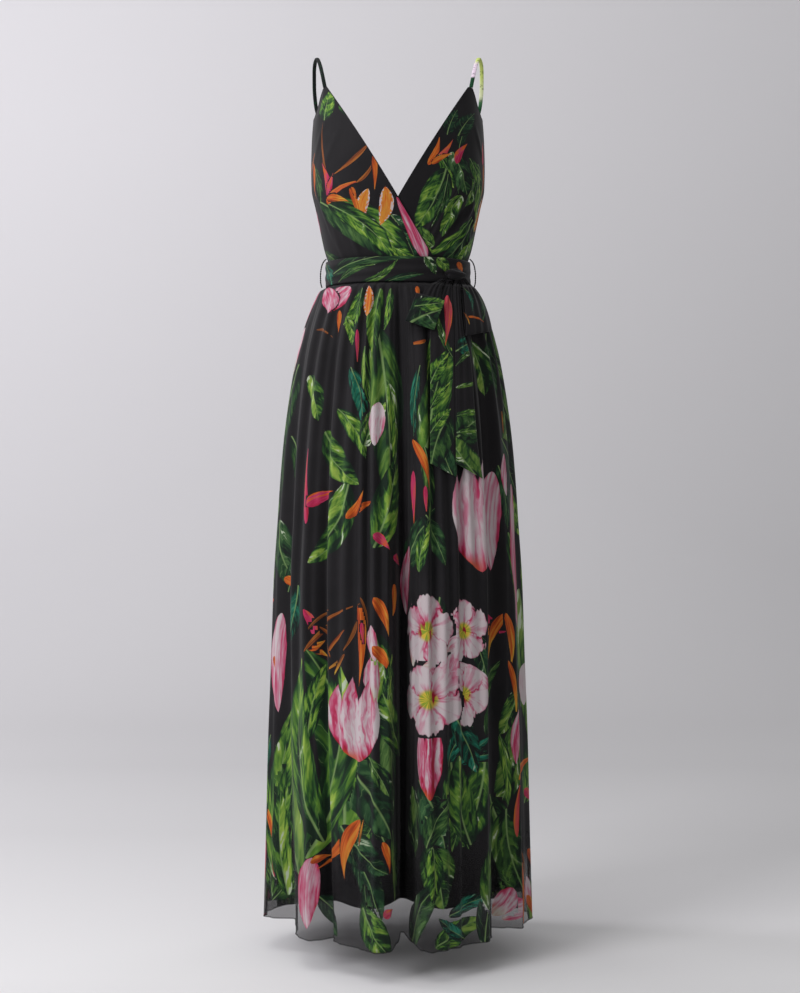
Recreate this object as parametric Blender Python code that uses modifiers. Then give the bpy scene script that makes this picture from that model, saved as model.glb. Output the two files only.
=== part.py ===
"""A wrap-front maxi dress with thin straps and a tied sash, in the hollow form that it has when worn.

Metres, +Z up.  The front faces -Y and the wearer's left is +X.  The origin lies midway between the
tops of the two straps, where the wearer's shoulders hold the dress.  Every cloth piece is an open
sheet on a common outline, thickened inwards.  An angle round the dress is 0 at the middle of the
front, 90 at the wearer's left side and 180 at the middle of the back.
"""

import bpy
import numpy as np

# Driving sizes
CLOTH = 0.0012  # thickness of each cloth wall
SEAM = 0.0003  # gap between pieces that are sewn together
LENGTH = 1.450  # from the tops of the straps to the hem
LINING_LENGTH = 1.390  # from the tops of the straps to the lining's hem
WAIST = -0.3670  # height of the waist seam
BELT_TOP = -0.3475
BELT_FOOT = -0.3885
BELT_INSIDE = 0.0034  # the belt's inner face, out from the outline
BELT_THICK = 0.0016
OVERLAP_LIFT = 0.0020  # how far the upper wrap panel stands out where it lies on the lower one
SIDE_SEAM_DEG = 82.0  # the bodice's side seams, a little forward of the sides
POINT_Z = -0.0630  # top of each wrap panel, where the strap starts
POINT_INNER_X = 0.1165  # half spacing of the neckline's two upper ends
NECK_SLOPE = 0.612  # sideways run of the neckline for each metre of drop
UNDERARM_Z = -0.1080  # top of the side seam
BACK_POINT = (0.122, -0.118)  # x and z of the back's upper points, where the straps end
BACK_V_Z = -0.2550  # bottom of the back's V
STRAP_WIDTH = 0.0064
STRAP_THICK = 0.0024
STRAP_END = 0.0010  # from the panel's point up to the middle of the slanting strap end
THREAD_RADIUS = 0.00075  # the thread carriers that hold the belt
KNOT_X = 0.0855
KNOT_Z = -0.3745
KNOT_SIZE = (0.0200, 0.0075, 0.0090)  # half its width, depth and height
KNOT_LOBE = 0.07  # how far its three soft lobes stand out, as a share of its size
KNOT_TURNS = 16
KNOT_RINGS = 8
FOLD_SPREAD_POWER = 0.8  # how fast the folds fan out below the waist


def table(names, *rows):
    """A dictionary of columns, each an array, from a line of names and rows of numbers."""
    return dict(zip(names.split(), np.array(rows, float).T))


# The dress's outline at each height: half width, and how far the front and back stand from the
# middle.  A roundness of 1 is an ellipse, and less is squarer.
OUTLINE = table(
    "z half_width front back roundness",
    (-0.0500, 0.1360, 0.096, 0.088, 0.80),
    (-0.0900, 0.1400, 0.106, 0.090, 0.82),
    (-0.1216, 0.1440, 0.114, 0.091, 0.84),
    (-0.1550, 0.1458, 0.120, 0.091, 0.86),
    (-0.1900, 0.1465, 0.123, 0.090, 0.88),
    (-0.2230, 0.1458, 0.120, 0.088, 0.90),
    (-0.2570, 0.1390, 0.112, 0.085, 0.92),
    (-0.2906, 0.1318, 0.103, 0.083, 0.94),
    (-0.3244, 0.1246, 0.097, 0.083, 0.95),
    (-0.3425, 0.1190, 0.094, 0.083, 0.95),
    (-0.3475, 0.1170, 0.092, 0.083, 0.96),
    (-0.3670, 0.1170, 0.092, 0.083, 0.96),
    (-0.3880, 0.1178, 0.093, 0.084, 0.97),
    (-0.3960, 0.1325, 0.106, 0.096, 0.98),
    (-0.4120, 0.1412, 0.115, 0.105, 1.00),
    (-0.4430, 0.1538, 0.128, 0.117, 1.00),
    (-0.4765, 0.1640, 0.138, 0.126, 1.00),
    (-0.5100, 0.1722, 0.147, 0.133, 1.00),
    (-0.5780, 0.1840, 0.161, 0.144, 1.00),
    (-0.6455, 0.1927, 0.173, 0.153, 1.00),
    (-0.7130, 0.1986, 0.184, 0.161, 1.00),
    (-0.7807, 0.2030, 0.193, 0.168, 1.00),
    (-0.8820, 0.2096, 0.206, 0.178, 1.00),
    (-1.0170, 0.2140, 0.220, 0.189, 1.00),
    (-1.1525, 0.2190, 0.232, 0.199, 1.00),
    (-1.2877, 0.2220, 0.241, 0.207, 1.00),
    (-1.4500, 0.2265, 0.250, 0.215, 1.00),
)

# The skirt's fold lines, ridge and furrow by turns: where each stands round the waist and round the
# hem, in degrees, how far it lies inside the outline below the belt, halfway down and at the hem, and
# how far it lifts the hem, in millimetres.
FOLDS = "waist hem high middle low lift"
FRONT_FOLDS = table(
    FOLDS,
    (-90, -90, 4, 4, 5, 3),
    (-85, -86.5, 0, 0, 0, 4),
    (-79, -82, 3, 4, 12, 6),
    (-72, -75, 6, 22, 50, 8),
    (-66, -63, 3, 16, 40, 4),
    (-60, -55, 0, 2, 26, 0),
    (-54, -50, 6, 6, 21, 0),
    (-48, -44, 0, 0, 19, 0),
    (-43, -41, 6, 8, 32, 1),
    (-38, -38, 7, 17, 52, 2),
    (-33, -33, 1, 4, 42, 1),
    (-29, -28, 6, 8, 36, 0),
    (-25, -23, 0, 2, 30, 0),
    (-21.5, -19, 7, 8, 26, 0),
    (-18.5, -15, 1, 2, 17, 0),
    (-16, -12, 7, 7, 10, 0),
    (-12.5, -9, 0, 0, 1, 0),
    (-9, -6, 8, 9, 4, 0),
    (-5.5, -3.5, 2, 3, 13, 0),
    (-2.5, -0.5, 6, 18, 60, 2),
    (0.5, 2.5, 13, 42, 122, 5),
    (3.5, 5.5, 10, 38, 118, 5),
    (6, 8.5, 3, 16, 66, 2),
    (8.5, 10.5, 1, 4, 18, 0),
    (13, 13.5, 0, 0, 0, 0),
    (17.5, 17, 7, 9, 6, 0),
    (21, 20, 0, 1, 6, 0),
    (25, 23.5, 6, 8, 16, 0),
    (28, 27, 1, 2, 14, 0),
    (31, 31, 7, 10, 24, 0),
    (35, 35, 1, 3, 26, 0),
    (38.5, 38.5, 6, 6, 20, 0),
    (43, 42.5, 0, 0, 15, 0),
    (47.5, 48, 3, 12, 26, 1),
    (51, 53, 8, 26, 42, 3),
    (55, 60, 6, 24, 52, 5),
    (60, 65, 0, 6, 34, 3),
    (65, 70, 6, 3, 8, 0),
    (71, 75, 0, 6, 12, 1),
    (77, 79, 6, 8, 8, 2),
    (84, 85, 0, 0, 0, 3),
    (90, 90, 4, 4, 5, 3),
)
BACK_FOLDS = table(
    FOLDS,
    (90, 90, 4, 4, 5, 3),
    (95, 95, 0, 0, 0, 2),
    (101, 101, 6, 6, 8, 0),
    (105, 105, 0, 0, 2, 0),
    (109, 109, 7, 14, 26, 2),
    (115, 116, 0, 3, 8, 0),
    (121, 121, 6, 9, 14, 0),
    (127, 127, 0, 0, 2, 0),
    (133, 134, 7, 16, 44, 4),
    (139, 142, 1, 5, 20, 1),
    (145, 148, 6, 8, 12, 0),
    (151, 153, 0, 0, 0, 0),
    (157, 160, 7, 12, 30, 2),
    (163, 167, 1, 4, 22, 0),
    (169, 171, 6, 10, 30, 1),
    (175, 175, 0, 1, 8, 0),
    (180.5, 180, 7, 14, 40, 3),
    (186, 185, 1, 3, 14, 0),
    (192, 190, 6, 7, 6, 0),
    (198, 196, 0, 0, 0, 0),
    (204, 203, 7, 18, 52, 4),
    (210, 211, 1, 6, 26, 1),
    (216, 216, 6, 8, 12, 0),
    (222, 222, 0, 0, 2, 0),
    (228, 228, 7, 12, 28, 2),
    (234, 234, 0, 3, 10, 0),
    (240, 241, 6, 14, 36, 3),
    (247, 249, 1, 4, 12, 1),
    (254, 254, 6, 8, 8, 1),
    (260, 259, 1, 4, 7, 2),
    (265, 265, 0, 0, 0, 3),
    (270, 270, 4, 4, 5, 3),
)
# Heights at which a fold's depth is given: at the belt's foot, below the belt, halfway, at the hem.
FOLD_HEIGHTS = (-0.3880, -0.4430, -0.8000, -LENGTH)
FOLD_SHARE_AT_BELT = 0.16  # of the depth below the belt
SKIRT_ROWS = (
    WAIST - SEAM, -0.381, -0.388, -0.396, -0.412, -0.443, -0.490,
    -0.560, -0.650, -0.760, -0.900, -1.060, -1.250, -LENGTH,
)
LINING_ROWS = (
    WAIST - SEAM, -0.388, -0.398, -0.420, -0.470, -0.560,
    -0.700, -0.880, -1.080, -1.240, -LINING_LENGTH,
)
LINING_COLUMNS = 24  # in each half
LINING_REACH_DEG = 6  # how far to each side the lining feels a furrow of the skirt
LINING_LEVEL_DEG = 8  # how far from a side seam its depth is held level
LINING_EASE = table("z ease", (WAIST, 0.0003), (-0.45, 0.003), (-0.90, 0.006), (-1.39, 0.008))

# The bodice's soft pleats: angle at the waist and at the upper end, height of the upper end, how far
# they stand out above the belt, and their half width in degrees.
PLEATS = "waist top top_z height spread"
OVER_PLEATS = table(
    PLEATS,
    (-46, -60, -0.250, 0.0022, 5.0),
    (-30, -42, -0.240, 0.0026, 4.5),
    (-15, -29, -0.235, 0.0030, 4.5),
    (-1, -17, -0.240, 0.0030, 4.0),
    (12, -6, -0.262, 0.0026, 4.0),
)
UNDER_PLEATS = table(
    PLEATS,
    (45, 56, -0.205, 0.0024, 4.0),
    (53, 66, -0.190, 0.0028, 4.0),
    (61, 76, -0.200, 0.0024, 4.0),
)
PLEAT_SHARE_AT_BELT = 0.35
PLEAT_BELT_FADE = 0.020  # height above the belt over which a pleat gains its full depth
PLEAT_FADE_POWER = 0.7  # how fast it fades towards its upper end
OVERLAP_RAMP = 0.4  # share of the panel's width over which the overlap's lift grows
ARMHOLE = table(
    "z x", (-0.1085, 0.1400), (-0.0900, 0.1326), (-0.0750, 0.1283), (POINT_Z, 0.1240)
)
PANEL_ROWS = (
    POINT_Z, -0.075, -0.090, -0.108, -0.135, -0.163, -0.192, -0.222,
    -0.250, -0.276, -0.300, -0.322, -0.338, -0.348, WAIST,
)
PANEL_COLUMNS = 16
BACK_ROWS = 9
BACK_COLUMNS = (6, 8)  # from side seam to point, and from point to the middle

# Folds along the belt: distance down its width as a share, and how far each stands out.
BELT_FOLDS = table(
    "down out", (0, 0), (0.25, 0.0009), (0.45, 0.0002), (0.72, 0.0011), (1, 0)
)
BELT_COLUMNS = 44

# A strip of the sash: where its two long edges run, and how far its outer face lies above the
# outline, from the knot onwards.
STRIP = "left_x left_z right_x right_z lift"
LEFT_LOOP = table(
    STRIP,
    (0.0650, -0.3842, 0.0730, -0.3842, 0.0135),
    (0.0480, -0.3965, 0.0695, -0.3990, 0.0072),
    (0.0370, -0.4150, 0.0680, -0.4220, 0.0052),
    (0.0240, -0.4370, 0.0630, -0.4500, 0.0050),
    (0.0150, -0.4510, 0.0580, -0.4660, 0.0056),
    (0.0115, -0.4565, 0.0560, -0.4715, 0.0078),
    (0.0135, -0.4520, 0.0575, -0.4675, 0.0100),
    (0.0190, -0.4380, 0.0620, -0.4520, 0.0106),
    (0.0280, -0.4110, 0.0715, -0.4230, 0.0110),
)
RIGHT_LOOP = table(
    STRIP,
    (0.0915, -0.3828, 0.1000, -0.3790, 0.0155),
    (0.1000, -0.4000, 0.1180, -0.3950, 0.0120),
    (0.1030, -0.4250, 0.1320, -0.4150, 0.0110),
    (0.1050, -0.4550, 0.1420, -0.4420, 0.0105),
    (0.1065, -0.4740, 0.1470, -0.4610, 0.0095),
    (0.1070, -0.4800, 0.1485, -0.4670, 0.0072),
    (0.1065, -0.4750, 0.1475, -0.4620, 0.0048),
    (0.1050, -0.4550, 0.1420, -0.4420, 0.0040),
    (0.1030, -0.4250, 0.1310, -0.4150, 0.0040),
    (0.1010, -0.4000, 0.1150, -0.3970, 0.0042),
)
REAR_TAIL = table(
    STRIP,
    (0.0765, -0.3842, 0.0845, -0.3842, 0.0095),
    (0.0750, -0.3940, 0.0860, -0.3940, 0.0038),
    (0.0700, -0.4060, 0.0885, -0.4060, 0.0030),
    (0.0590, -0.4350, 0.0905, -0.4350, 0.0028),
    (0.0520, -0.4800, 0.0925, -0.4800, 0.0028),
    (0.0515, -0.5500, 0.0930, -0.5500, 0.0030),
    (0.0510, -0.6200, 0.0930, -0.6250, 0.0034),
    (0.0505, -0.6880, 0.0925, -0.7100, 0.0040),
)
FRONT_TAIL = table(
    STRIP,
    (0.0860, -0.3842, 0.0950, -0.3842, 0.0130),
    (0.0870, -0.4000, 0.0990, -0.4000, 0.0058),
    (0.0895, -0.4350, 0.1010, -0.4350, 0.0052),
    (0.0910, -0.4700, 0.1040, -0.4700, 0.0050),
    (0.0912, -0.5200, 0.1160, -0.5200, 0.0050),
    (0.0910, -0.5900, 0.1205, -0.5900, 0.0052),
    (0.0905, -0.6500, 0.1250, -0.6560, 0.0060),
    (0.0900, -0.6880, 0.1320, -0.7120, 0.0070),
)
STRIP_ROWS = 15
STRIP_COLUMNS = 4

# The wearer's left strap from the wrap panel's point over the shoulder to the back.
STRAP_ROUTE = table(
    "x y z",
    (0.1212, -0.0548, POINT_Z + STRAP_END),
    (0.1240, -0.0500, -0.0480),
    (0.1280, -0.0390, -0.0290),
    (0.1325, -0.0230, -0.0120),
    (0.1372, -0.0020, -0.0014),
    (0.1408, 0.0190, -0.0030),
    (0.1432, 0.0350, -0.0160),
    (0.1435, 0.0440, -0.0400),
    (0.1415, 0.0500, -0.0680),
    (0.1340, 0.0510, -0.0960),
    (0.1230, 0.0520, -0.1154),
)
STRAP_POINTS = 20
STRAP_SIDES = 8
# The wearer's left thread carrier, from above the belt to below it.
CARRIER_ROUTE = table(
    "x z",
    (0.1215, -0.3400),
    (0.1260, -0.3450),
    (0.1294, -0.3540),
    (0.1310, -0.3680),
    (0.1306, -0.3800),
    (0.1285, -0.3880),
)
CARRIER_Y = 0.0
CARRIER_POINTS = 10

BLACK_CHIFFON = (0.012, 0.013, 0.014)
LEAF_GREEN = (0.030, 0.120, 0.040)
LINING_BLACK = (0.006, 0.006, 0.007)
STRAP_GREEN = (0.016, 0.040, 0.024)
THREAD_BLACK = (0.008, 0.008, 0.008)


def smooth(x, xs, ys):
    """A cubic curve through the points (xs, ys), with slopes from each point's two neighbours."""
    xs, ys = np.asarray(xs, float), np.asarray(ys, float)
    if xs[0] > xs[-1]:
        xs, ys = xs[::-1], ys[::-1]
    x = np.clip(x, xs[0], xs[-1])
    step = np.diff(ys) / np.diff(xs)
    same_way = step[:-1] * step[1:] > 0
    mean = 2 * step[:-1] * step[1:] / np.where(same_way, step[:-1] + step[1:], 1)
    slope = np.concatenate([step[:1], np.where(same_way, mean, 0), step[-1:]])
    i = np.clip(np.searchsorted(xs, x) - 1, 0, len(xs) - 2)
    width = xs[i + 1] - xs[i]
    u = (x - xs[i]) / width
    return (
        ys[i] * (1 + 2 * u) * (1 - u) ** 2
        + ys[i + 1] * u * u * (3 - 2 * u)
        + width * (slope[i] * u * (1 - u) ** 2 - slope[i + 1] * u * u * (1 - u))
    )


def outline(z):
    """Half width, front, back and roundness at height z."""
    return [smooth(z, OUTLINE["z"], OUTLINE[c]) for c in ("half_width", "front", "back", "roundness")]


def on_dress(angle, z, lift=0.0):
    """Points at an angle (radians) and a height, moved out from the outline by lift."""
    angle, z, lift = np.broadcast_arrays(angle, z, lift)
    half_width, front, back, roundness = outline(z)
    ahead = np.cos(angle)
    depth = np.where(ahead > 0, front, back)
    x = half_width * np.sin(angle)
    y = -np.sign(ahead) * depth * np.abs(ahead) ** roundness
    out = np.stack([depth * np.sin(angle), -half_width * ahead], -1)
    out /= np.linalg.norm(out, axis=-1, keepdims=True)
    return np.stack([x + lift * out[..., 0], y + lift * out[..., 1], z], -1)


def angle_at(x, z):
    """The angle of the outline's point on the front at sideways place x."""
    return np.arcsin(np.clip(x / outline(z)[0], -1, 1))


def finish(name, colour, roughness):
    """A cloth material."""
    material = bpy.data.materials.new(name)
    material.use_nodes = True
    shader = material.node_tree.nodes["Principled BSDF"]
    shader.inputs["Base Color"].default_value = (*colour, 1)
    shader.inputs["Roughness"].default_value = roughness
    material.diffuse_color = (*colour, 1)
    return material


def add(name, points, faces, colour, roughness=0.7):
    """One named object with its own material, in the dress's collection."""
    mesh = bpy.data.meshes.new(name)
    mesh.from_pydata(points.reshape(-1, 3).tolist(), [], faces)
    mesh.materials.append(finish(name, colour, roughness))
    mesh.shade_smooth()
    piece = bpy.data.objects.new(name, mesh)
    bpy.data.collections["maxi_dress"].objects.link(piece)
    return piece


def grid_faces(rows, columns, closed=False):
    """Quads facing outwards, for rows that run down and columns that run towards a greater angle."""
    across = columns if closed else columns - 1
    corner = [(r * columns, c, (c + 1) % columns) for r in range(rows - 1) for c in range(across)]
    return [(r + a, r + columns + a, r + columns + b, r + b) for r, a, b in corner]


def cloth(name, outer, colour, thick=CLOTH, closed=False):
    """A cloth wall: a grid of points on its outer face, thickened inwards."""
    rows, columns = outer.shape[:2]
    piece = add(name, outer, grid_faces(rows, columns, closed), colour)
    wall = piece.modifiers.new("wall", "SOLIDIFY")
    wall.thickness = thick
    wall.offset = -1
    wall.use_even_offset = True
    return piece


def fold_lines(folds, z):
    """Angle, depth and lift of each fold line at the heights z, as arrays of height by fold line."""
    down = np.clip((WAIST - z) / (WAIST + LENGTH), 0, 1)[:, None]
    angle = folds["waist"] + (folds["hem"] - folds["waist"]) * down**FOLD_SPREAD_POWER
    given = [FOLD_SHARE_AT_BELT * folds["high"], folds["high"], folds["middle"], folds["low"]]
    depth = [smooth(z, FOLD_HEIGHTS, column) for column in np.array(given).T]
    near_hem = smooth(z, FOLD_HEIGHTS, (0, 0, 0, 1))[:, None]
    return angle, np.array(depth).T / 1000, near_hem * folds["lift"] / 1000


def folded(folds, z, between=2):
    """The fold lines with points between them, where depth and lift follow a half wave of cosine."""
    angle, depth, lift = fold_lines(folds, z)
    share = np.arange(between) / between
    wave = (1 - np.cos(np.pi * share)) / 2

    def filled(values, part):
        a, b = values[:, :-1, None], values[:, 1:, None]
        inner = (a + (b - a) * part).reshape(len(values), -1)
        return np.concatenate([inner, values[:, -1:]], 1)

    return filled(angle, share), filled(depth, wave), filled(lift, wave)


def parted(angle, z):
    """The first and last columns drawn back from the side seam by half the seam's gap."""
    front, back = outline(z)[1:3]
    middle_ahead = np.cos(np.radians(angle[:, angle.shape[1] // 2])) > 0
    turn = np.degrees(SEAM / 2 / np.where(middle_ahead, front, back))
    angle = angle.copy()
    angle[:, 0] += turn
    angle[:, -1] -= turn
    return angle


def skirt_panel(name, folds):
    """One half of the outer skirt, from the waist seam to the hem."""
    z = np.array(SKIRT_ROWS)
    angle, depth, lift = folded(folds, z)
    points = on_dress(np.radians(parted(angle, z)), z[:, None], -depth)
    points[..., 2] += lift
    return cloth(name, points, BLACK_CHIFFON)


def lining_depth(angle, z):
    """Depth of the lining: behind the deepest fold of the skirt within reach, and then its ease.

    Near a side seam the depth holds the seam's own value, so that both halves meet squarely.
    """
    front, back = folded(FRONT_FOLDS, z, 4), folded(BACK_FOLDS, z, 4)
    whole = np.arange(-90, 270)
    reach = range(-LINING_REACH_DEG, LINING_REACH_DEG + 1)
    from_seam = np.abs((whole + 180) % 180 - 90)
    share = np.clip(from_seam / LINING_LEVEL_DEG - 1, 0, 1)
    share = share * share * (3 - 2 * share)
    depths = []
    for row in range(len(z)):
        angles = np.concatenate([front[0][row], back[0][row][1:]])
        fold = np.interp(whole, angles, np.concatenate([front[1][row], back[1][row][1:]]))
        fold = np.max([np.roll(fold, k) for k in reach], 0)
        fold = np.mean([np.roll(fold, k) for k in reach], 0)
        at_seam = np.where(whole < 0, fold[0], np.where(whole < 180, fold[180], fold[0]))
        fold = at_seam + (fold - at_seam) * share
        depths.append(np.interp(angle[row], whole, fold, period=360))
    return np.array(depths) + CLOTH + smooth(z, LINING_EASE["z"], LINING_EASE["ease"])[:, None]


def lining_panel(name, start):
    """One half of the lining, a plain tube that hangs behind the folds."""
    z = np.array(LINING_ROWS)
    angle = np.tile(np.linspace(start, start + 180, LINING_COLUMNS + 1), (len(z), 1))
    angle = parted(angle, z)
    points = on_dress(np.radians(angle), z[:, None], -lining_depth(angle, z))
    return cloth(name, points, LINING_BLACK)


def pleat_rise(pleats, angle, z):
    """How far soft pleats stand out: each is a half wave across, and fades towards its upper end."""
    rise = np.zeros(np.broadcast(angle, z).shape)
    for waist, top, top_z, height, spread in zip(*pleats.values()):
        up = np.clip((z - WAIST) / (top_z - WAIST), 0, 1)
        away = np.clip(np.abs(angle - (waist + (top - waist) * up)) / spread, 0, 1)
        belt = np.clip((z - BELT_TOP) / PLEAT_BELT_FADE, 0, 1)
        along = PLEAT_SHARE_AT_BELT + (1 - PLEAT_SHARE_AT_BELT) * belt
        along = along * (1 - up) ** PLEAT_FADE_POWER
        rise += height * along * (1 + np.cos(np.pi * away)) / 2
    return rise


def wrap_panel(name, side, pleats, lift, colour):
    """A bodice front from its side seam to its neckline edge, side -1 for the wearer's right."""
    z = np.array(PANEL_ROWS)
    z[-1] = WAIST + SEAM / 2
    inner = -POINT_INNER_X + NECK_SLOPE * (POINT_Z - z)
    outer = np.where(z > UNDERARM_Z, -smooth(z, ARMHOLE["z"], ARMHOLE["x"]), -1)
    seam = -np.radians(SIDE_SEAM_DEG) + SEAM / 2 / outline(z)[1]
    start = np.where(z > UNDERARM_Z, angle_at(outer, z), seam)
    across = np.linspace(0, 1, PANEL_COLUMNS + 1)
    angle = start[:, None] + (angle_at(inner, z) - start)[:, None] * across
    ramp = np.clip(across / OVERLAP_RAMP, 0, 1)
    rise = lift * ramp * ramp * (3 - 2 * ramp)
    if side > 0:
        angle = -angle[:, ::-1]
    rise = rise + pleat_rise(pleats, np.degrees(angle), z[:, None])
    return cloth(name, on_dress(angle, z[:, None], rise), colour)


def bodice_back():
    """The back, with its V, from side seam to side seam."""
    point_x, point_z = BACK_POINT
    point = np.pi - np.arcsin(point_x / outline(point_z)[0])
    half = np.concatenate([
        np.linspace(np.radians(SIDE_SEAM_DEG), point, BACK_COLUMNS[0] + 1),
        np.linspace(point, np.pi, BACK_COLUMNS[1] + 1)[1:],
    ])
    x = outline(point_z)[0] * np.sin(half)
    side = UNDERARM_Z + (point_z - UNDERARM_Z) * (half - half[0]) / (point - half[0])
    top = np.where(half <= point, side, BACK_V_Z + (point_z - BACK_V_Z) * np.clip(x / point_x, 0, 1))
    angle = np.concatenate([half, 2 * np.pi - half[-2::-1]])
    top = np.concatenate([top, top[-2::-1]])
    z = top + (WAIST + SEAM / 2 - top) * np.linspace(0, 1, BACK_ROWS + 1)[:, None]
    angle = np.tile(angle, (len(z), 1))
    angle[:, 0] += SEAM / 2 / outline(z[:, 0])[1]
    angle[:, -1] -= SEAM / 2 / outline(z[:, -1])[1]
    return cloth("bodice_back", on_dress(angle, z), BLACK_CHIFFON)


def belt_band():
    """The sash round the waist, a closed band with soft folds along it."""
    down = BELT_FOLDS["down"]
    z = BELT_TOP + (BELT_FOOT - BELT_TOP) * down
    angle = np.linspace(0, 2 * np.pi, BELT_COLUMNS, endpoint=False)
    points = on_dress(angle, WAIST, BELT_INSIDE + BELT_THICK + BELT_FOLDS["out"][:, None])
    points[..., 2] = z[:, None]
    return cloth("belt_band", points, BLACK_CHIFFON, BELT_THICK, closed=True)


def belt_knot():
    """The knot, a squashed ball with a few soft lobes, pressed against the band."""
    angle = angle_at(KNOT_X, KNOT_Z)
    lift = BELT_INSIDE + BELT_THICK + BELT_FOLDS["out"].max() + SEAM + KNOT_SIZE[1]
    centre = on_dress(angle, KNOT_Z, lift)
    outward = (centre - on_dress(angle, KNOT_Z)) / lift
    tangent = np.array([-outward[1], outward[0], 0])
    around = np.linspace(0, 2 * np.pi, KNOT_TURNS, endpoint=False)
    level = np.linspace(0, np.pi, KNOT_RINGS + 1)[1:-1, None]
    lobe = 1 + KNOT_LOBE * np.cos(3 * around) * np.sin(level)
    ring = np.stack([
        KNOT_SIZE[0] * lobe * np.sin(level) * np.cos(around),
        KNOT_SIZE[1] * np.sin(level) * np.sin(around),
        KNOT_SIZE[2] * lobe * np.cos(level) + 0 * around,
    ], -1)
    poles = np.array([[0, 0, KNOT_SIZE[2]], [0, 0, -KNOT_SIZE[2]]])
    local = np.concatenate([poles[:1], ring.reshape(-1, 3), poles[1:]])
    points = centre + local[:, :1] * tangent + local[:, 1:2] * outward + local[:, 2:] * [0, 0, 1]
    last = len(local) - 1
    sides = grid_faces(KNOT_RINGS - 1, KNOT_TURNS, closed=True)
    faces = [tuple(1 + k for k in face)[::-1] for face in sides]
    foot = 1 + (KNOT_RINGS - 2) * KNOT_TURNS
    following = [(k, (k + 1) % KNOT_TURNS) for k in range(KNOT_TURNS)]
    faces += [(0, 1 + after, 1 + k) for k, after in following]
    faces += [(last, foot + k, foot + after) for k, after in following]
    return add("belt_knot", points, faces, BLACK_CHIFFON)


def sash_strip(name, strip, colour):
    """A strip of the sash laid over the dress from its knot end, its edges on smooth curves."""
    given = np.linspace(0, 1, len(strip["lift"]))
    along = np.linspace(0, 1, STRIP_ROWS + 1)
    left_x, left_z, right_x, right_z, lift = (smooth(along, given, c)[:, None] for c in strip.values())
    across = np.linspace(0, 1, STRIP_COLUMNS + 1)
    x = left_x + (right_x - left_x) * across
    z = left_z + (right_z - left_z) * across
    return cloth(name, on_dress(angle_at(x, z), z, lift), colour)


def shoulder_strap(name, side):
    """A flattened tube carried along the strap's route, its width kept across the shoulder."""
    given = np.linspace(0, 1, len(STRAP_ROUTE["x"]))
    along = np.linspace(0, 1, STRAP_POINTS)
    path = np.stack([smooth(along, given, STRAP_ROUTE[c]) for c in "xyz"], -1)
    forward = np.gradient(path, axis=0)
    forward /= np.linalg.norm(forward, axis=1, keepdims=True)
    wide = np.array([1.0, 0, 0]) - forward * forward[:, :1]
    wide /= np.linalg.norm(wide, axis=1, keepdims=True)
    thick = np.cross(forward, wide)
    turn = np.linspace(0, 2 * np.pi, STRAP_SIDES, endpoint=False)[:, None]
    points = (
        path[:, None]
        + wide[:, None] * np.cos(turn) * STRAP_WIDTH / 2
        + thick[:, None] * np.sin(turn) * STRAP_THICK / 2
    )
    faces = [face[::-1] for face in grid_faces(STRAP_POINTS, STRAP_SIDES, closed=True)]
    faces += [tuple(range(STRAP_SIDES))[::-1]]
    faces += [tuple((STRAP_POINTS - 1) * STRAP_SIDES + k for k in range(STRAP_SIDES))]
    points[..., 0] *= side
    if side < 0:
        faces = [face[::-1] for face in faces]
    return add(name, points, faces, STRAP_GREEN)


def thread_carrier(name, side):
    """A thin thread loop at the side that holds the belt in its place."""
    given = np.linspace(0, 1, len(CARRIER_ROUTE["x"]))
    along = np.linspace(0, 1, CARRIER_POINTS)
    x, z = (smooth(along, given, CARRIER_ROUTE[c]) for c in "xz")
    curve = bpy.data.curves.new(name, "CURVE")
    curve.dimensions = "3D"
    curve.bevel_depth = THREAD_RADIUS
    curve.bevel_resolution = 2
    curve.use_fill_caps = True
    line = curve.splines.new("POLY")
    line.points.add(CARRIER_POINTS - 1)
    for point, px, pz in zip(line.points, x, z):
        point.co = (side * px, CARRIER_Y, pz, 1)
    curve.materials.append(finish(name, THREAD_BLACK, 0.8))
    piece = bpy.data.objects.new(name, curve)
    bpy.data.collections["maxi_dress"].objects.link(piece)
    return piece


def main():
    for old in list(bpy.data.objects):
        bpy.data.objects.remove(old)
    collection = bpy.data.collections.new("maxi_dress")
    bpy.context.scene.collection.children.link(collection)
    wrap_panel("bodice_front_over", -1, OVER_PLEATS, OVERLAP_LIFT, BLACK_CHIFFON)
    wrap_panel("bodice_front_under", 1, UNDER_PLEATS, 0.0, LEAF_GREEN)
    bodice_back()
    skirt_panel("skirt_front", FRONT_FOLDS)
    skirt_panel("skirt_back", BACK_FOLDS)
    lining_panel("lining_front", -90)
    lining_panel("lining_back", 90)
    belt_band()
    belt_knot()
    sash_strip("belt_loop_end", LEFT_LOOP, LEAF_GREEN)
    sash_strip("belt_loop", RIGHT_LOOP, BLACK_CHIFFON)
    sash_strip("belt_tail_rear", REAR_TAIL, LEAF_GREEN)
    sash_strip("belt_tail_front", FRONT_TAIL, BLACK_CHIFFON)
    for word, side in (("left", 1), ("right", -1)):
        shoulder_strap(f"strap_{word}", side)
        thread_carrier(f"thread_carrier_{word}", side)


main()
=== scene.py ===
"""The looks of a wrap-front maxi dress: printed chiffon, its black lining, the tied sash and the straps.

Metres, +Z up.  The front faces -Y and the wearer's left is +X.  Every cloth piece is a grid worked
out on the dress's outline.  An angle round the dress is 0 at the middle of the front, 90 at the
wearer's left side and 180 at the middle of the back.  The print is a layout of leaves, petals and
spears: numpy gives each face corner its place on the motif that covers it, and the materials draw
the motif there.
"""

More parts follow.
